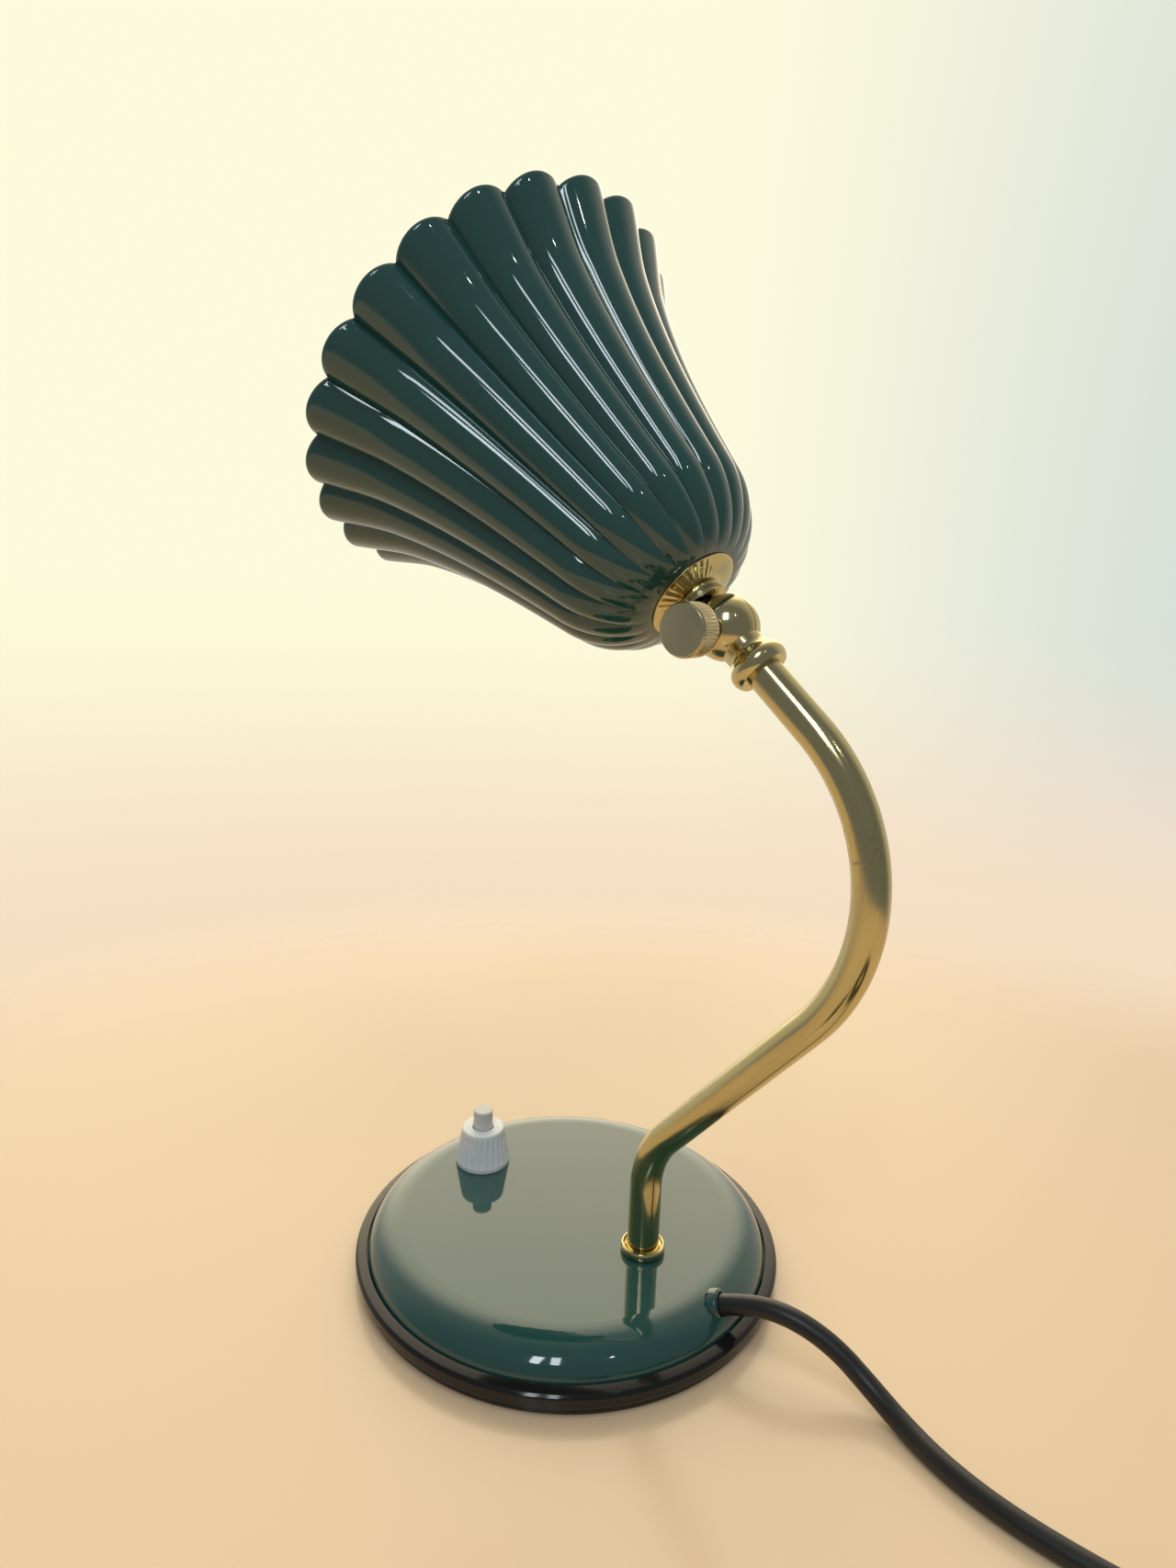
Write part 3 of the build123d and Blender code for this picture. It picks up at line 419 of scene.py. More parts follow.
def placed(tree, group, **values):
    node = tree.nodes.new("ShaderNodeGroup")
    node.node_tree = group
    for label, value in values.items():
        node.inputs[label].default_value = value
    return node


def mixColor(tree, factor, first, second):
    node = tree.nodes.new("ShaderNodeMix")
    node.data_type = "RGBA"
    tree.links.new(factor, node.inputs[0])
    for socket, value in ((node.inputs[6], first), (node.inputs[7], second)):
        if isinstance(value, tuple):
            socket.default_value = value
        else:
            tree.links.new(value, socket)
    return node.outputs[2]


def roughened(tree, roughness, mask, amount):
    # roughness raised where the mask is 1
    return mathNode(tree, "ADD", roughness, mathNode(tree, "MULTIPLY", mask, amount))


def finish(name, settings):
    # colour drift, specks or scratches in a second colour, patchy roughness and a fine bump
    material = bpy.data.materials.new(name)
    material.use_nodes = True
    tree = material.node_tree
    shader = tree.nodes["Principled BSDF"]
    for label, value in settings.get("sockets", {}).items():
        shader.inputs[label].default_value = value
    drift = placed(
        tree, toneDrift,
        Color=(*settings["color"], 1), Scale=settings["driftScale"], Amount=settings["drift"])
    color = drift.outputs["Color"]
    rough = placed(
        tree, handling,
        Roughness=settings["rough"], Amount=settings["roughSwing"], Scale=settings["roughScale"])
    roughness = rough.outputs["Roughness"]
    if "specks" in settings:
        specks = placed(tree, dustSpecks, **settings["specks"])
        color = mixColor(tree, specks.outputs["Mask"], color, (*settings["speckColor"], 1))
        roughness = roughened(tree, roughness, specks.outputs["Mask"], effectSettings["speckRoughness"])
    if "scratches" in settings:
        scratches = placed(tree, fineScratches, **settings["scratches"])
        color = mixColor(tree, scratches.outputs["Mask"], color, (*settings["scratchColor"], 1))
        roughness = roughened(tree, roughness, scratches.outputs["Mask"], effectSettings["scratchRoughness"])
    if "drawn" in settings:
        drawn = placed(tree, drawLines, **settings["drawn"])
        color = mixColor(tree, drawn.outputs["Mask"], color, (*settings["drawnColor"], 1))
        roughness = roughened(tree, roughness, drawn.outputs["Mask"], effectSettings["drawnRoughness"])
    tree.links.new(color, shader.inputs["Base Color"])
    tree.links.new(roughness, shader.inputs["Roughness"])
    if settings.get("bump"):
        place = tree.nodes.new("ShaderNodeTexCoord")
        grain = tree.nodes.new("ShaderNodeTexNoise")
        grain.inputs["Scale"].default_value = settings["bumpScale"]
        grain.inputs["Detail"].default_value = effectSettings["grainDetail"]
        bump = tree.nodes.new("ShaderNodeBump")
        bump.inputs["Strength"].default_value = settings["bump"]
        bump.inputs["Distance"].default_value = settings.get("bumpHeight", 0.0001)
        tree.links.new(place.outputs["Object"], grain.inputs["Vector"])
        tree.links.new(grain.outputs["Fac"], bump.inputs["Height"])
        tree.links.new(bump.outputs["Normal"], shader.inputs["Normal"])
    return material


greenLacquer = finish("greenLacquer", {
    "color": (0.015, 0.066, 0.059), "drift": 0.08, "driftScale": 18,
    "rough": 0.055, "roughSwing": 0.05, "roughScale": 40,
    "specks": {"Scale": 420, "Size": 0.08, "Cover": 0.34}, "speckColor": (0.08, 0.14, 0.125),
    "bump": 0.03, "bumpScale": 90, "bumpHeight": 0.0001,
    "sockets": {"Coat Weight": 0.6, "Coat Roughness": 0.02, "Specular IOR Level": 0.5}})
blackEnamel = finish("blackEnamel", {
    "color": (0.008, 0.008, 0.008), "drift": 0.15, "driftScale": 30,
    "rough": 0.10, "roughSwing": 0.10, "roughScale": 60,
    "specks": {"Scale": 520, "Size": 0.08, "Cover": 0.35}, "speckColor": (0.05, 0.05, 0.047),
    "bump": 0.04, "bumpScale": 300,
    "sockets": {"Coat Weight": 0.1, "Coat Roughness": 0.04, "Specular IOR Level": 0.35}})
polishedBrass = finish("polishedBrass", {
    "color": (0.60, 0.515, 0.27), "drift": 0.14, "driftScale": 35,
    "rough": 0.14, "roughSwing": 0.12, "roughScale": 70,
    "scratches": {"Scale": 160, "Cover": 0.42}, "scratchColor": (0.50, 0.42, 0.22),
    "bump": 0.04, "bumpScale": 900, "sockets": {"Metallic": 1.0}})
drawnBrass = finish("drawnBrass", {
    "color": (0.60, 0.525, 0.27), "drift": 0.10, "driftScale": 30,
    "rough": 0.12, "roughSwing": 0.10, "roughScale": 60,
    "drawn": {"Across": 14.0, "Along": 0.03, "Amount": 0.55}, "drawnColor": (0.44, 0.38, 0.20),
    "scratches": {"Scale": 140, "Cover": 0.38}, "scratchColor": (0.46, 0.39, 0.21),
    "bump": 0.03, "bumpScale": 700, "sockets": {"Metallic": 1.0}})
turnedBrass = finish("turnedBrass", {
    "color": (0.62, 0.54, 0.33), "drift": 0.18, "driftScale": 90,
    "rough": 0.24, "roughSwing": 0.18, "roughScale": 160,
    "scratches": {"Scale": 300, "Cover": 0.5}, "scratchColor": (0.68, 0.63, 0.48),
    "bump": 0.10, "bumpScale": 1200, "sockets": {"Metallic": 1.0}})
contactBrass = finish("contactBrass", {
    "color": (0.66, 0.55, 0.33), "drift": 0.12, "driftScale": 60,
    "rough": 0.28, "roughSwing": 0.12, "roughScale": 90,
    "bump": 0.05, "bumpScale": 700, "sockets": {"Metallic": 1.0}})
platedSteel = finish("platedSteel", {
    "color": (0.52, 0.53, 0.54), "drift": 0.10, "driftScale": 50,
    "rough": 0.32, "roughSwing": 0.14, "roughScale": 80,
    "scratches": {"Scale": 200, "Cover": 0.45}, "scratchColor": (0.62, 0.62, 0.62),
    "bump": 0.05, "bumpScale": 600, "sockets": {"Metallic": 1.0}})
ivoryPlastic = finish("ivoryPlastic", {
    "color": (0.74, 0.75, 0.75), "drift": 0.04, "driftScale": 80,
    "rough": 0.34, "roughSwing": 0.12, "roughScale": 120,
    "specks": {"Scale": 900, "Size": 0.10, "Cover": 0.38}, "speckColor": (0.55, 0.52, 0.46),
    "bump": 0.04, "bumpScale": 1500, "sockets": {"Subsurface Weight": 0.05}})
greyPlastic = finish("greyPlastic", {
    "color": (0.60, 0.59, 0.55), "drift": 0.06, "driftScale": 90,
    "rough": 0.42, "roughSwing": 0.12, "roughScale": 140,
    "bump": 0.05, "bumpScale": 1500})
porcelain = finish("porcelain", {
    "color": (0.78, 0.76, 0.70), "drift": 0.05, "driftScale": 60,
    "rough": 0.22, "roughSwing": 0.08, "roughScale": 100,
    "bump": 0.03, "bumpScale": 800, "sockets": {"Coat Weight": 0.4}})
leadSleeve = finish("leadSleeve", {
    "color": (0.55, 0.52, 0.45), "drift": 0.10, "driftScale": 60,
    "rough": 0.45, "roughSwing": 0.10, "roughScale": 120, "bump": 0.06, "bumpScale": 900})
feltPile = finish("feltPile", {
    "color": (0.030, 0.045, 0.035), "drift": 0.5, "driftScale": 900,
    "rough": 0.95, "roughSwing": 0.05, "roughScale": 300,
    "bump": 0.8, "bumpScale": 2200, "bumpHeight": 0.0004,
    "sockets": {"Sheen Weight": 0.3}})
plugRubber = finish("plugRubber", {
    "color": (0.014, 0.014, 0.015), "drift": 0.2, "driftScale": 60,
    "rough": 0.42, "roughSwing": 0.15, "roughScale": 90,
    "bump": 0.10, "bumpScale": 1400})
cordSheath = finish("cordSheath", {
    "color": (0.012, 0.012, 0.012), "drift": 0.25, "driftScale": 50,
    "rough": 0.34, "roughSwing": 0.14, "roughScale": 80,
    "drawn": {"Across": 5.0, "Along": 0.02, "Amount": 0.5}, "drawnColor": (0.022, 0.022, 0.022),
    "bump": 0.08, "bumpScale": 1200})
shadeInside = finish("shadeInside", {
    "color": (0.82, 0.80, 0.73), "drift": 0.04, "driftScale": 25,
    "rough": 0.38, "roughSwing": 0.10, "roughScale": 60,
    "specks": {"Scale": 500, "Size": 0.08, "Cover": 0.35}, "speckColor": (0.62, 0.58, 0.5),
    "bump": 0.04, "bumpScale": 300})
opalGlass = finish("opalGlass", {
    "color": (0.93, 0.90, 0.82), "drift": 0.03, "driftScale": 40,
    "rough": 0.20, "roughSwing": 0.06, "roughScale": 60,
    "bump": 0.02, "bumpScale": 200,
    "sockets": {"Subsurface Weight": 0.2, "Emission Color": (1.0, 0.80, 0.52, 1), "Emission Strength": 0.45}})
print("finishes made")

finishOfNode = {
    "felt_pad": feltPile, "base_plate": platedSteel, "base_ring": blackEnamel, "base_cover": greenLacquer,
    "cover_posts": platedSteel, "plate_screws": platedSteel, "arm_tube": polishedBrass,
    "arm_collar": polishedBrass, "arm_washer": platedSteel, "arm_nut": platedSteel,
    "switch_body": greyPlastic, "switch_plunger": greyPlastic, "switch_spring": platedSteel,
    "switch_nut": ivoryPlastic, "knuckle_lower": polishedBrass, "knuckle_upper": polishedBrass,
    "thumb_screw": turnedBrass, "neck_ring": polishedBrass, "rosette": polishedBrass, "shade": greenLacquer,
    "shade_washer": platedSteel, "shade_nut": platedSteel, "holder_cup": ivoryPlastic,
    "holder_insert": porcelain, "contact_sleeve": contactBrass, "contact_tongue": contactBrass,
    "holder_skirt": ivoryPlastic, "bulb_cap": contactBrass, "bulb_globe": opalGlass,
    "terminal_block": greyPlastic, "arm_lead": leadSleeve, "head_lead": leadSleeve,
    "switch_lead": leadSleeve, "inner_cord": plugRubber, "cord_grip": greyPlastic,
    "cord_run": plugRubber, "cord_coil": plugRubber, "coil_tie": plugRubber,
    "plug_body": plugRubber, "plug_pins": contactBrass,
}
for nodeName, material in finishOfNode.items():
    nodes[nodeName].data.materials.clear()
    nodes[nodeName].data.materials.append(material)


# Mains cord: the route on the table, then the coil out of view, then the tail to the plug
cordSettings = {
    "radius": 3.0,
    "sides": 20,
    "route": [
        (1.5, 61.5, 14.0), (-1.4, 71.6, 18.0), (-4.2, 83.4, 18.0), (-7.0, 95.0, 13.4),
        (-7.6, 105.6, 6.8), (-4.6, 117.4, 3.2), (0.4, 130.5, 3.0), (3.6, 146.0, 3.0),
        (4.2, 164.0, 3.0), (3.0, 184.0, 3.2), (4.0, 199.0, 4.0), (4.0, 209.0, 4.0)],
    "coilRadius": 47.0,
    "coilPitch": 6.5,
    "coilLayer": 6.5,
    "coilTurns": 3.5,
    "pointsPerTurn": 16,
    "tailRun": 36.0,
    "tailDrop": 3.5,
    "tailShape": [
        (0.05, 0.2, 0.03), (0.3, 0.4, 0.25), (0.7, 0.6, 0.75), (0.95, 0.8, 0.97), (1.0, 1.0, 1.0)],
    "length": 1.84,
    "crease": 0.05,
}


def coilPoints(settings):
    # spirals in on the table, climbs a layer as it turns back, and spirals out on top
    turns = settings["coilTurns"]
    start = np.array(settings["route"][-1]) + np.array((0.0, 2 * settings["radius"], 0.0))
    centre = start + np.array((settings["coilRadius"], 0.0, 0.0))
    count = int(round((2 * turns + 0.5) * settings["pointsPerTurn"]))
    turn = np.linspace(0, 2 * turns + 0.5, count + 1)
    reversal = turns + 0.25
    radius = settings["coilRadius"] - settings["coilPitch"] * (reversal - np.abs(turn - reversal))
    radius = radius / (0.75 + 0.25 * math.cos(2 * math.pi / settings["pointsPerTurn"]))
    climb = np.clip(turn - turns, 0, 0.5)
    height = settings["coilLayer"] * (1 - np.cos(2 * math.pi * climb)) / 2
    angle = 2 * math.pi * turn
    points = centre + np.stack((-radius * np.cos(angle), radius * np.sin(angle), height), axis=1)
    end = points[-1]
    run, drop, side = settings["tailRun"], settings["tailDrop"], settings["radius"]
    tail = [end + np.array((side * a, -run * b, -drop * c)) for a, b, c in settings["tailShape"]]
    last = tail[-1] + np.array((0.0, -2 * settings["radius"], 0.0))
    return np.vstack((points, tail, last[None, :]))


def splinePoints(points):
    # the smooth line of a NURBS spline through the route, read back as points
    data = bpy.data.curves.new("cordLine", "CURVE")
    data.dimensions = "3D"
    spline = data.splines.new("NURBS")
    spline.points.add(len(points) - 1)
    spline.points.foreach_set("co", np.hstack((points * mm, np.ones((len(points), 1)))).ravel())
    spline.order_u = 3
    spline.use_endpoint_u = True
    spline.resolution_u = 8
    holder = bpy.data.objects.new("cordLine", data)
    scene.collection.objects.link(holder)
    bpy.context.view_layer.update()
    mesh = bpy.data.meshes.new_from_object(holder.evaluated_get(bpy.context.evaluated_depsgraph_get()))
    line = np.zeros(len(mesh.vertices) * 3)
    mesh.vertices.foreach_get("co", line)
    bpy.data.objects.remove(holder)
    bpy.data.meshes.remove(mesh)
    return line.reshape(-1, 3) / mm


def carriedRings(line, sides):
    # directions of a ring carried along a line without twisting
    way = np.gradient(line, axis=0)
    way /= np.linalg.norm(way, axis=1)[:, None]
    side = np.zeros_like(way)
    side[0] = axisFrame(way[0])[0]
    for k in range(1, len(way)):
        carried = side[k - 1] - way[k] * side[k - 1].dot(way[k])
        side[k] = carried / np.linalg.norm(carried)
    other = np.cross(way, side)
    angle = np.linspace(0, 2 * math.pi, sides, endpoint=False)
    ring = np.cos(angle)[None, :, None] * side[:, None, :] + np.sin(angle)[None, :, None] * other[:, None, :]
    run = np.concatenate(((0.0,), np.cumsum(np.linalg.norm(np.diff(line, axis=0), axis=1))))
    return ring, angle[None, :], run[:, None]


def sweptPipe(line, outer, inner, sides):
    # the outer wall goes along the line, the inner wall comes back, and they close on each other at its ends
    ring, angle, run = carriedRings(line, sides)
    flow = np.stack(np.broadcast_arrays(np.cos(angle), np.sin(angle), run), axis=-1)
    points = np.concatenate((line[:, None, :] + outer * ring, (line[:, None, :] + inner * ring)[::-1]))
    flow = np.concatenate((flow, flow[::-1]))
    return points.reshape(-1, 3), gridFaces(len(points), sides, True, True), flow.reshape(-1, 3)


def sweptRod(line, radius, sides, ripple):
    # a rippled ring carried along the line, with a point at each end to close it
    line = np.concatenate((line[:1], line, line[-1:]))
    ring, angle, run = carriedRings(line[1:-1], sides)
    ring = np.concatenate((ring[:1] * 0, ring, ring[-1:] * 0))
    run = np.concatenate((run[:1], run, run[-1:]))
    size = ripple(angle, run, float(radius))
    flow = np.stack(np.broadcast_arrays(np.cos(angle), np.sin(angle), run), axis=-1)
    points = line[:, None, :] + size[..., None] * ring
    points, quads, kept = welded(points.reshape(-1, 3), gridFaces(len(line), sides, False, True))
    return points, quads, flow.reshape(-1, 3)[kept]


cordLine = splinePoints(np.vstack((np.array(cordSettings["route"]), coilPoints(cordSettings))))


def sheathCreases(angle, run, ring):
    # shallow lengthwise creases that come and go along the sheath
    wave = np.sin(3 * angle + 0.02 * run) * np.sin(0.05 * run + 1.0) + 0.5 * np.sin(5 * angle - 0.03 * run)
    return ring + cordSettings["crease"] * wave


cordPoints, cordQuads, cordFlow = sweptRod(
    cordLine, cordSettings["radius"], cordSettings["sides"], sheathCreases)
cordPiece = addPiece("mainsCord", cordPoints, cordQuads, "lamp", [cordSheath],
                     ("cord_run", "cord_coil"), sharp=60, along=cordFlow)
print("cord laid, points", len(cordLine))


# Fluted shade: crest radius is a slope, a quarter-ellipse dome and a cubic flare; each flute is one arc
shadeSettings = {
    "length": 95.5, "neckRadius": 14.0, "slope": 0.27,
    "domeWidth": 13.7, "domeLength": 18.0, "flare": 11.2,
    "flutes": 22, "fluteDepth": 4.6, "neckDepth": 0.15, "phase": 11.5,
    "crestWall": 1.2, "valleyWall": 1.7, "bore": 5.1, "columns": 20,
    "lipRadius": 1.5, "lipFlare": 1.2, "lipRun": 18.0, "lipInset": 1.57, "lipBlend": 8,
    "evenShare": 0.6, "domeRows": 30, "sideRows": 60, "lipRows": 15, "plateRows": 5,
}


def crestAt(distance, settings):
    inDome = np.minimum(distance, settings["domeLength"]) / settings["domeLength"]
    sideLength = settings["length"] - settings["domeLength"]
    pastDome = np.maximum(distance - settings["domeLength"], 0) / sideLength
    dome = settings["domeWidth"] * np.sqrt(1 - (1 - inDome) ** 2)
    side = settings["neckRadius"] + settings["slope"] * distance
    return side + dome + settings["flare"] * pastDome ** 3


def valleyAt(distance, settings):
    crest, rim = crestAt(distance, settings), crestAt(settings["length"], settings)
    growth = (crest - settings["neckRadius"]) / (rim - settings["neckRadius"])
    return crest - settings["neckDepth"] - (settings["fluteDepth"] - settings["neckDepth"]) * growth


def fluteRadius(crest, valley, swing, half):
    # polar radius of an arc through the crest at 0 and the valleys at plus and minus half
    centre = (crest ** 2 - valley ** 2) / (2 * (crest - valley * math.cos(half)))
    return centre * np.cos(swing) + np.sqrt((crest - centre) ** 2 - (centre * np.sin(swing)) ** 2)


def makeShade(settings):
    half = math.pi / settings["flutes"]
    step = np.linspace(-1, 1, settings["columns"] + 1)[:-1]
    even = settings["evenShare"]  # the rest of the columns crowd towards the valleys
    spread = even * step + (1 - even) * np.sin(step * math.pi / 2)
    swing = np.tile(half * spread, settings["flutes"])
    middles = math.radians(settings["phase"]) + half + 2 * half * np.arange(settings["flutes"])
    angle = np.repeat(middles, settings["columns"]) + swing
    lip = settings["lipRadius"]
    rimSlope = settings["slope"] + 3 * settings["flare"] / (settings["length"] - settings["domeLength"])
    run = np.array((1.0, rimSlope)) / math.hypot(1, rimSlope)
    out = np.array((-run[1], run[0]))
    last = settings["length"] - settings["lipInset"] * lip
    domeRun = settings["domeLength"] * (1 - np.cos(np.linspace(0, math.pi / 2, settings["domeRows"])))
    sideRun = np.linspace(settings["domeLength"], last, settings["sideRows"])[1:]
    distance = np.concatenate((domeRun, sideRun))

    def section(along, crestIn=0.0, valleyIn=0.0):
        flare = settings["lipFlare"] * smoothStep(along, last - settings["lipRun"], last)
        crest = crestAt(along, settings) + flare - crestIn
        valley = valleyAt(along, settings) + flare - valleyIn
        return fluteRadius(crest[:, None], valley[:, None], swing[None, :], half)

    outer = section(distance)
    plateRun = np.linspace(0, 1, settings["plateRows"])[:, None]
    plateCount = settings["plateRows"] - 1
    plate = plateRun[:-1]
    outerPlate = settings["bore"] + (outer[:1] - settings["bore"]) * plate
    # the lip is half a circle from the outer to the inner wall
    turn = np.linspace(0, math.pi, settings["lipRows"])[1:]
    lipAlong = last + lip * ((np.cos(turn) - 1) * out[0] + np.sin(turn) * run[0])
    lipRadius = outer[-1:] + lip * ((np.cos(turn) - 1) * out[1] + np.sin(turn) * run[1])[:, None]
    back = distance[::-1][1::2]
    apart = np.arange(len(distance)) * 1e-9  # a hair's step, so that no two distances are the same
    grade = np.gradient(crestAt(distance, settings), distance + apart)[::-1][1::2]
    grade[-1] = 1e6  # the dome starts square to the axis
    level, rise = 1 / np.hypot(1, grade), grade / np.hypot(1, grade)
    thick = smoothStep(back, last - settings["lipBlend"], last)
    crestIn = (settings["crestWall"] * (1 - thick) + 2 * lip * thick)
    valleyIn = (settings["valleyWall"] * (1 - thick) + 2 * lip * thick)
    inner = section(back, crestIn * level, valleyIn * level)
    innerAlong = back + crestIn * rise
    innerPlate = inner[-1:] + (settings["bore"] - inner[-1:]) * plateRun[1:]
    radius = np.concatenate((outerPlate, outer, lipRadius, inner, innerPlate))
    endAlong = np.full(plateCount, innerAlong[-1])
    along = np.concatenate((np.zeros(plateCount), distance, lipAlong, innerAlong, endAlong))
    first, second, axis = axisFrame(headWay)
    ring = np.cos(angle)[:, None] * first + np.sin(angle)[:, None] * second
    points = pivot + radius[..., None] * ring + (shadeStart + along)[:, None, None] * axis
    quads = gridFaces(len(along), len(angle), True, True)
    firstInside = plateCount + len(distance) + settings["lipRows"] // 2 + 1  # just past the lip's edge
    inside = np.repeat(np.arange(len(along)) >= firstInside, len(angle))
    addPiece("flutedShade", points.reshape(-1, 3), quads, "head", [greenLacquer, shadeInside],
             ("shade",), sharp=28, inside=inside)


makeShade(shadeSettings)
print("shade made")


# Foot: black ring, raised eye of the cord hole
footSettings = {
    "ring": [(63.2, 0.0, 0.2), (67.8, 0.0, 0.3), (68.6, 0.8, 0.4), (68.6, 2.7, 0.4), (70.0, 3.6, 0.7),
             (70.0, 6.6, 0.8), (69.1, 7.5, 0.6), (66.2, 8.2, 0.3), (66.2, 6.5, 0.0), (60.0, 6.5, 0.0),
             (60.0, 4.5, 0.0), (63.2, 4.5, 0.0)],
    "eyeAt": (1.5, 61.5, 14.0),
    "eyeTo": (-1.4, 71.6, 18.0),
    "eyeProfile": [(3.25, -2.4, 0.2), (4.5, -2.4, 0.2), (4.5, 0.1, 0.8), (3.7, 0.75, 0.35),
                   (3.25, 0.5, 0.25)],
    "ringSides": 256, "eyeSides": 64,
}
ringPoints, ringQuads = spun(softProfile(footSettings["ring"], 6), (0, 0, 0), upZ, footSettings["ringSides"])
addPiece("blackFootRing", ringPoints, ringQuads, "lamp", [blackEnamel],
         ("base_ring",), sharp=50)
eyeAt = np.array(footSettings["eyeAt"])
eyeWay = np.array(footSettings["eyeTo"]) - eyeAt
eyePoints, eyeQuads = spun(
    softProfile(footSettings["eyeProfile"], 6), eyeAt, eyeWay, footSettings["eyeSides"])
addPiece("cordEye", eyePoints, eyeQuads, "lamp", [greenLacquer])
print("foot made")


# Brass arm: a tube on the arm's centre line, and the lipped collar it stands in
armSettings = {
    "outer": 5.0, "inner": 4.0, "sides": 64, "collarSides": 96,
    "collar": [(5.05, 0.0, 0.0), (6.4, 0.0, 0.2), (7.0, 0.7, 0.35), (7.0, 2.2, 0.5), (6.6, 2.8, 0.25),
               (6.2, 2.8, 0.15), (5.9, 1.9, 0.2), (5.05, 1.5, 0.0)],
}
tubePoints, tubeQuads, tubeFlow = sweptPipe(
    armPoints, armSettings["outer"], armSettings["inner"], armSettings["sides"])
addPiece("swanNeckTube", tubePoints, tubeQuads, "lamp", [drawnBrass], ("arm_tube",), along=tubeFlow)
collarPlace = (0, armLine["footY"], coverTop)
collarPoints, collarQuads = spun(
    softProfile(armSettings["collar"], 5), collarPlace, upZ, armSettings["collarSides"])
addPiece("armCollar", collarPoints, collarQuads, "lamp", [polishedBrass], ("arm_collar",))
print("arm made")


# Push switch: ribbed nut that narrows upwards
switchSettings = {
    "place": (0.0, -41.0, coverTop), "ribs": 24, "ribDepth": 0.5, "ribFrom": 1.7, "ribTo": 11.9,
    "ribFade": 0.8, "ribOutside": 6.5, "sidesPerRib": 10,
    "nut": [(5.05, 0.0, 0.0), (9.5, 0.0, 0.3), (9.5, 1.5, 0.2), (9.4, 1.9, 0.0), (9.17, 3.3, 0.0),
            (8.9, 4.8, 0.0), (8.54, 6.9, 0.0), (8.2, 8.9, 0.0), (7.86, 10.9, 0.0), (7.68, 11.8, 0.0),
            (7.4, 13.5, 0.6), (3.7, 13.5, 0.3), (3.7, 11.1, 0.0), (5.05, 10.3, 0.0)],
}


def nutRibs(angle, radius, height):
    # each groove between two ribs is a rounded dip, and fades out at the foot and under the top rim
    start, end, run = switchSettings["ribFrom"], switchSettings["ribTo"], switchSettings["ribFade"]
    fade = smoothStep(height, start, start + run) * (1 - smoothStep(height, end - run, end))
    outside = radius > switchSettings["ribOutside"]
    dip = np.abs(np.cos(switchSettings["ribs"] / 2 * angle)) ** 3
    return radius - switchSettings["ribDepth"] * fade * outside * dip, height


nutSides = switchSettings["ribs"] * switchSettings["sidesPerRib"]
nutPoints, nutQuads = spun(
    softProfile(switchSettings["nut"], 4), switchSettings["place"], upZ, nutSides, nutRibs)
addPiece("switchNut", nutPoints, nutQuads, "lamp", [ivoryPlastic], ("switch_nut",), sharp=50)
print("switch made")


# Tilting joint: thumb screw with a knurled knob, ring and pleated rosette
jointSettings = {
    "screw": [(0.0, -7.5, 0.0), (2.5, -7.5, 0.3), (2.5, 8.25, 0.0), (3.6, 8.25, 0.15), (3.6, 13.2, 0.4),
              (4.6, 13.95, 0.2), (6.6, 13.95, 0.2), (7.1, 14.5, 0.2), (7.2, 15.2, 0.0), (7.2, 16.2, 0.0),
              (7.2, 17.2, 0.0), (7.2, 18.2, 0.0), (7.2, 19.2, 0.0), (7.2, 20.2, 0.0), (6.7, 20.95, 0.3),
              (0.0, 20.95, 0.0)],
    "knurls": 44, "knurlDepth": 0.28, "knurlSlant": 0.14, "sidesPerKnurl": 8,
    "knurlBand": (14.5, 15.2, 19.8, 20.6), "knurlOutside": 6.9, "knurlMiddle": 17.4, "ringSides": 96,
    "ring": [(5.05, 10.4, 0.0), (6.6, 10.4, 0.35), (7.0, 10.9, 0.3), (7.0, 11.6, 0.3), (6.6, 12.1, 0.35),
             (5.05, 12.1, 0.0)],
    "pleats": 36, "pleatDepth": 0.24, "sidesPerPleat": 10,
    "pleatBand": (7.6, 9.0, 13.0, 13.7), "pleatBelow": 13.6,
    "rosette": [(5.05, 12.1, 0.0), (7.4, 12.1, 0.4), (8.4, 12.34, 0.0), (9.4, 12.58, 0.0),
                (10.4, 12.83, 0.0), (11.4, 13.07, 0.0), (12.4, 13.31, 0.0), (13.2, 13.5, 0.0),
                (13.8, 13.65, 0.2), (13.8, 14.1, 0.15), (12.9, 14.1, 0.0), (7.4, 13.0, 0.0),
                (5.05, 13.0, 0.0)],
}


def knobKnurl(angle, radius, height):
    # two crossing sets of slanted grooves round the knob's edge
    low, lowFull, highFull, high = jointSettings["knurlBand"]
    band = smoothStep(height, low, lowFull) * (1 - smoothStep(height, highFull, high))
    band = band * (radius > jointSettings["knurlOutside"])
    slant = jointSettings["knurlSlant"] * (height - jointSettings["knurlMiddle"])
    one = np.abs(np.sin(jointSettings["knurls"] / 2 * (angle + slant)))
    other = np.abs(np.sin(jointSettings["knurls"] / 2 * (angle - slant)))
    return radius - jointSettings["knurlDepth"] * band * (1 - np.minimum(one, other)), height


def rosettePleats(angle, radius, height):
    # pleats are waves in the height of the dished outer face, deepest half way out
    start, startFull, endFull, end = jointSettings["pleatBand"]
    face = smoothStep(radius, start, startFull) * (1 - smoothStep(radius, endFull, end))
    face = face * (height < jointSettings["pleatBelow"])
    wave = 0.5 - 0.5 * np.cos(jointSettings["pleats"] * angle)
    return radius, height + jointSettings["pleatDepth"] * face * wave


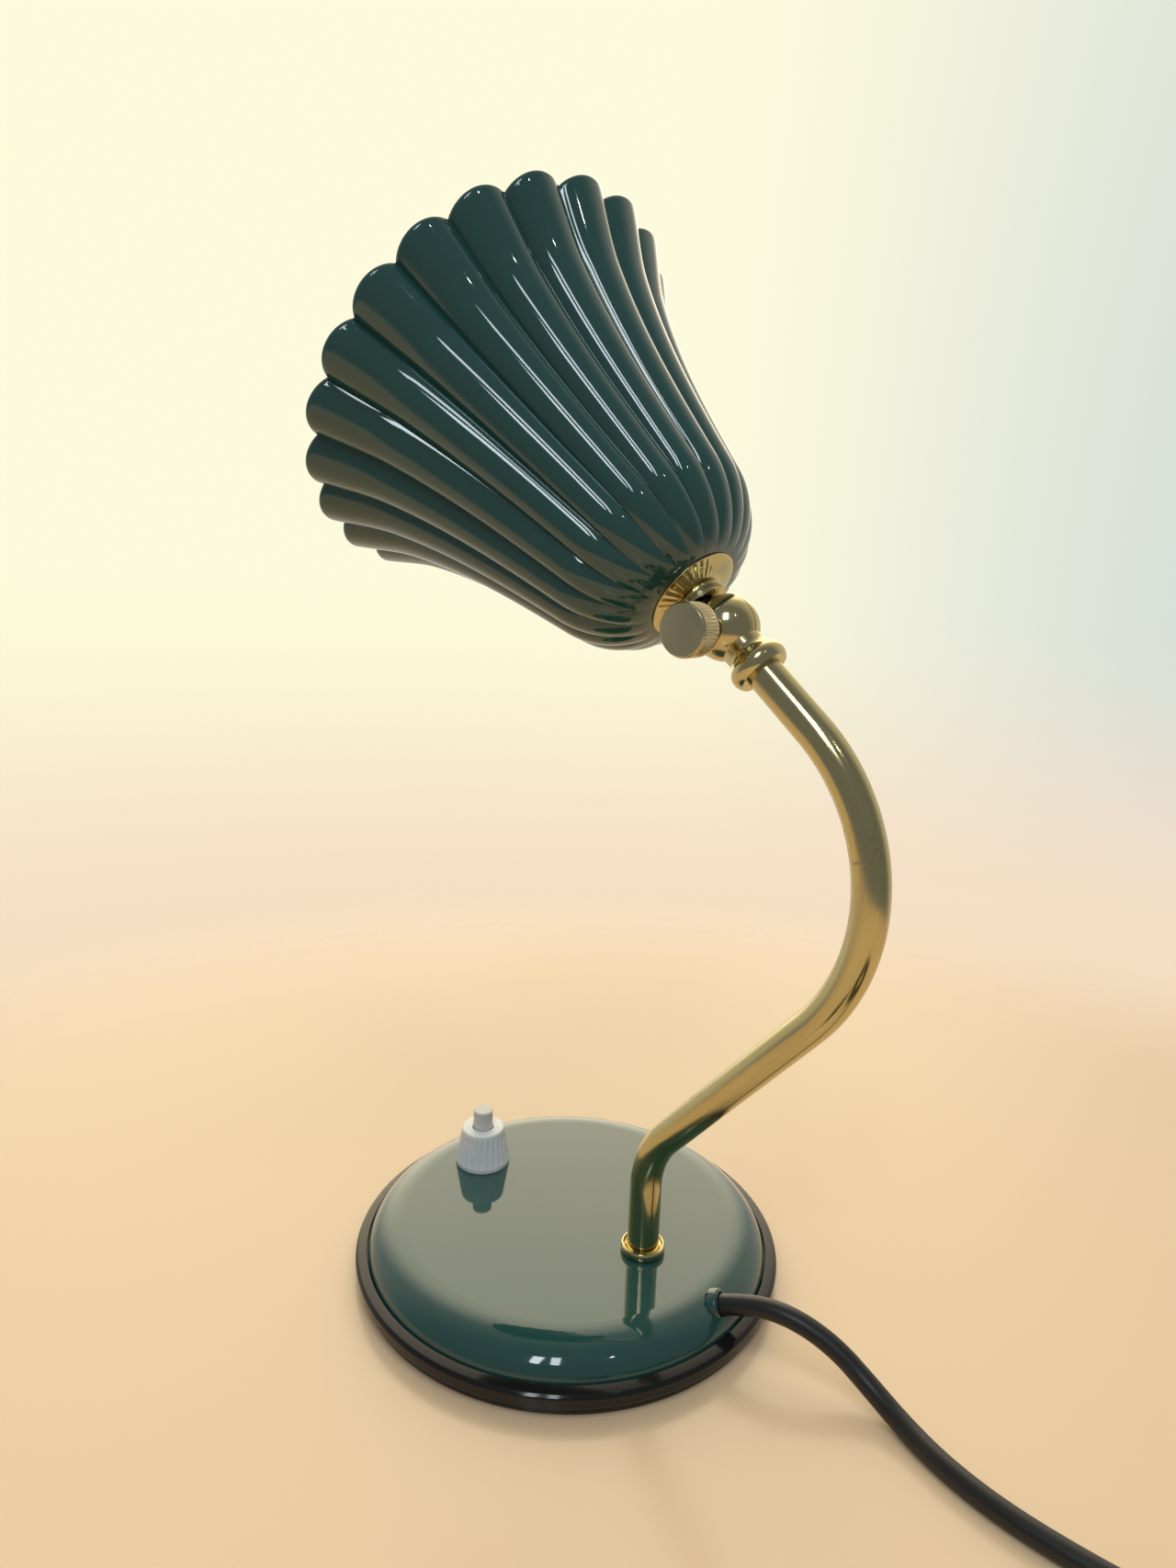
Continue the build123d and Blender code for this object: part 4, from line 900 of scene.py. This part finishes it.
knobSides = jointSettings["knurls"] * jointSettings["sidesPerKnurl"]
screwPoints, screwQuads = spun(softProfile(jointSettings["screw"], 4), pivot, acrossX, knobSides, knobKnurl)
addPiece("thumbScrew", screwPoints, screwQuads, "thumb", [turnedBrass], ("thumb_screw",), sharp=35)
neckPoints, neckQuads = spun(
    softProfile(jointSettings["ring"], 5), pivot, headWay, jointSettings["ringSides"])
addPiece("neckRing", neckPoints, neckQuads, "head", [polishedBrass], ("neck_ring",))
rosetteSides = jointSettings["pleats"] * jointSettings["sidesPerPleat"]
rosettePoints, rosetteQuads = spun(
    softProfile(jointSettings["rosette"], 4), pivot, headWay, rosetteSides, rosettePleats)
addPiece("pleatedRosette", rosettePoints, rosetteQuads, "head", [polishedBrass],
         ("rosette",), sharp=60)
print("joint made")


# Stage and light
stageSettings = {
    "centre": (0.10, 0.12), "fade": 0.36, "edge": 0.56, "rows": 40, "columns": 128,
    "color": (0.79, 0.585, 0.375, 1), "rough": 0.20,
}


def makeFloor(settings):
    # a disc that fades out towards its edge, so that it runs into the background
    rows, columns = settings["rows"], settings["columns"]
    radius = np.linspace(0, settings["edge"], rows)[:, None]
    angle = np.linspace(0, 2 * math.pi, columns, endpoint=False)[None, :]
    points = np.stack((
        settings["centre"][0] + radius * np.cos(angle),
        settings["centre"][1] + radius * np.sin(angle),
        np.zeros_like(radius * angle)), axis=-1)
    points, quads = welded(points.reshape(-1, 3) / mm, gridFaces(rows, columns, False, True))[:2]
    mesh = bpy.data.meshes.new("floor")
    mesh.from_pydata((points * mm).tolist(), [], faceLists(quads))
    mesh.update()
    floor = bpy.data.objects.new("floor", mesh)
    scene.collection.objects.link(floor)
    material = bpy.data.materials.new("paleFloor")
    material.use_nodes = True
    tree = material.node_tree
    shader = tree.nodes["Principled BSDF"]
    shader.inputs["Base Color"].default_value = settings["color"]
    shader.inputs["Roughness"].default_value = settings["rough"]
    place = tree.nodes.new("ShaderNodeTexCoord")
    away = tree.nodes.new("ShaderNodeVectorMath")
    away.operation = "DISTANCE"
    away.inputs[1].default_value = (*settings["centre"], 0)
    tree.links.new(place.outputs["Object"], away.inputs[0])
    shown = tree.nodes.new("ShaderNodeMapRange")
    shown.interpolation_type = "SMOOTHSTEP"
    shown.inputs["From Min"].default_value = settings["fade"]
    shown.inputs["From Max"].default_value = settings["edge"]
    shown.inputs["To Min"].default_value = 1.0
    shown.inputs["To Max"].default_value = 0.0
    tree.links.new(away.outputs["Value"], shown.inputs["Value"])
    tree.links.new(shown.outputs[0], shader.inputs["Alpha"])
    mesh.materials.append(material)


makeFloor(stageSettings)

lightSettings = [
    {"name": "windowLeft", "place": (0.98, 0.44, 1.15), "aim": (0.0, 0.0, 0.22), "size": (0.12, 0.50),
     "power": 2.0, "color": (0.84, 0.94, 1.0)},
    {"name": "windowRight", "place": (0.84, 0.60, 1.15), "aim": (0.0, 0.0, 0.22), "size": (0.10, 0.50),
     "power": 1.5, "color": (0.84, 0.94, 1.0)},
    {"name": "overhead", "place": (0.40, 0.45, 1.30), "aim": (0.0, 0.0, 0.20), "size": (0.9, 0.7),
     "power": 5.0, "color": (0.96, 0.99, 1.0), "mirrored": False},
    {"name": "ceilingLamp", "place": (0.30, 0.85, 1.10), "aim": (0.0, 0.0, 0.25), "size": (0.03, 0.03),
     "power": 0.2, "color": (1.0, 0.97, 0.92)},
]
for settings in lightSettings:
    data = bpy.data.lights.new(settings["name"], "AREA")
    data.shape = "RECTANGLE"
    data.size, data.size_y = settings["size"]
    data.energy = settings["power"]
    data.color = settings["color"]
    lamp = bpy.data.objects.new(settings["name"], data)
    aim = Vector(settings["aim"]) - Vector(settings["place"])
    turn = aim.to_track_quat("-Z", "Y").to_matrix().to_4x4()
    lamp.matrix_world = Matrix.Translation(settings["place"]) @ turn
    lamp.visible_glossy = settings.get("mirrored", True)  # the wide lamp only fills the shadows
    scene.collection.objects.link(lamp)

# Room: a pale wall with a warm glow on one side and a dimmer room on the other; the camera sees it plainer
roomSettings = {
    "wallWay": (-0.771, -0.637, 0.0), "glowWay": (-0.58, -0.64, 0.50), "coolWay": (-0.637, 0.771, 0.0),
    "downWay": (0, 0, -1),
    "wallSpread": (-0.3, 0.5), "glowSpread": (0.66, 0.97), "coolSpread": (0.05, 0.6),
    "lowSpread": (0.02, 0.34), "floorSpread": (0.34, 0.55),
    "room": (0.20, 0.21, 0.22, 1), "wall": (0.66, 0.61, 0.51, 1), "glow": (1.0, 0.88, 0.64, 1),
    "glowGain": 1.5, "floor": (0.76, 0.64, 0.48, 1), "cream": (0.98, 0.96, 0.72, 1),
    "cool": (0.66, 0.72, 0.69, 1), "low": (0.92, 0.73, 0.55, 1),
}


def makeRoom(settings):
    world = bpy.data.worlds.new("room")
    scene.world = world
    world.use_nodes = True
    tree = world.node_tree
    place = tree.nodes.new("ShaderNodeTexCoord")
    background = tree.nodes["Background"]

    def part(way, spreadOver):
        # 0 to 1 as the direction turns towards way
        dot = tree.nodes.new("ShaderNodeVectorMath")
        dot.operation = "DOT_PRODUCT"
        dot.inputs[1].default_value = way
        tree.links.new(place.outputs["Generated"], dot.inputs[0])
        spread = tree.nodes.new("ShaderNodeMapRange")
        spread.interpolation_type = "SMOOTHSTEP"
        spread.inputs["From Min"].default_value = spreadOver[0]
        spread.inputs["From Max"].default_value = spreadOver[1]
        tree.links.new(dot.outputs["Value"], spread.inputs["Value"])
        return spread.outputs[0]

    glow = part(settings["glowWay"], settings["glowSpread"])
    below = part(settings["downWay"], settings["floorSpread"])
    facing = part(settings["wallWay"], settings["wallSpread"])
    lit = mixColor(tree, facing, settings["room"], settings["wall"])
    lit = mixColor(tree, glow, lit, settings["glow"])
    lit = mixColor(tree, below, lit, settings["floor"])
    shaded = part(settings["coolWay"], settings["coolSpread"])
    seen = mixColor(tree, shaded, settings["cream"], settings["cool"])
    seen = mixColor(tree, part(settings["downWay"], settings["lowSpread"]), seen, settings["low"])
    seen = mixColor(tree, below, seen, settings["floor"])
    ray = tree.nodes.new("ShaderNodeLightPath").outputs["Is Camera Ray"]
    tree.links.new(mixColor(tree, ray, lit, seen), background.inputs["Color"])
    gain = mathNode(tree, "MULTIPLY", glow, settings["glowGain"])
    gain = mathNode(tree, "MULTIPLY", gain, mathNode(tree, "SUBTRACT", 1.0, ray))
    tree.links.new(mathNode(tree, "ADD", gain, 1.0), background.inputs["Strength"])


makeRoom(roomSettings)
print("stage and light set")
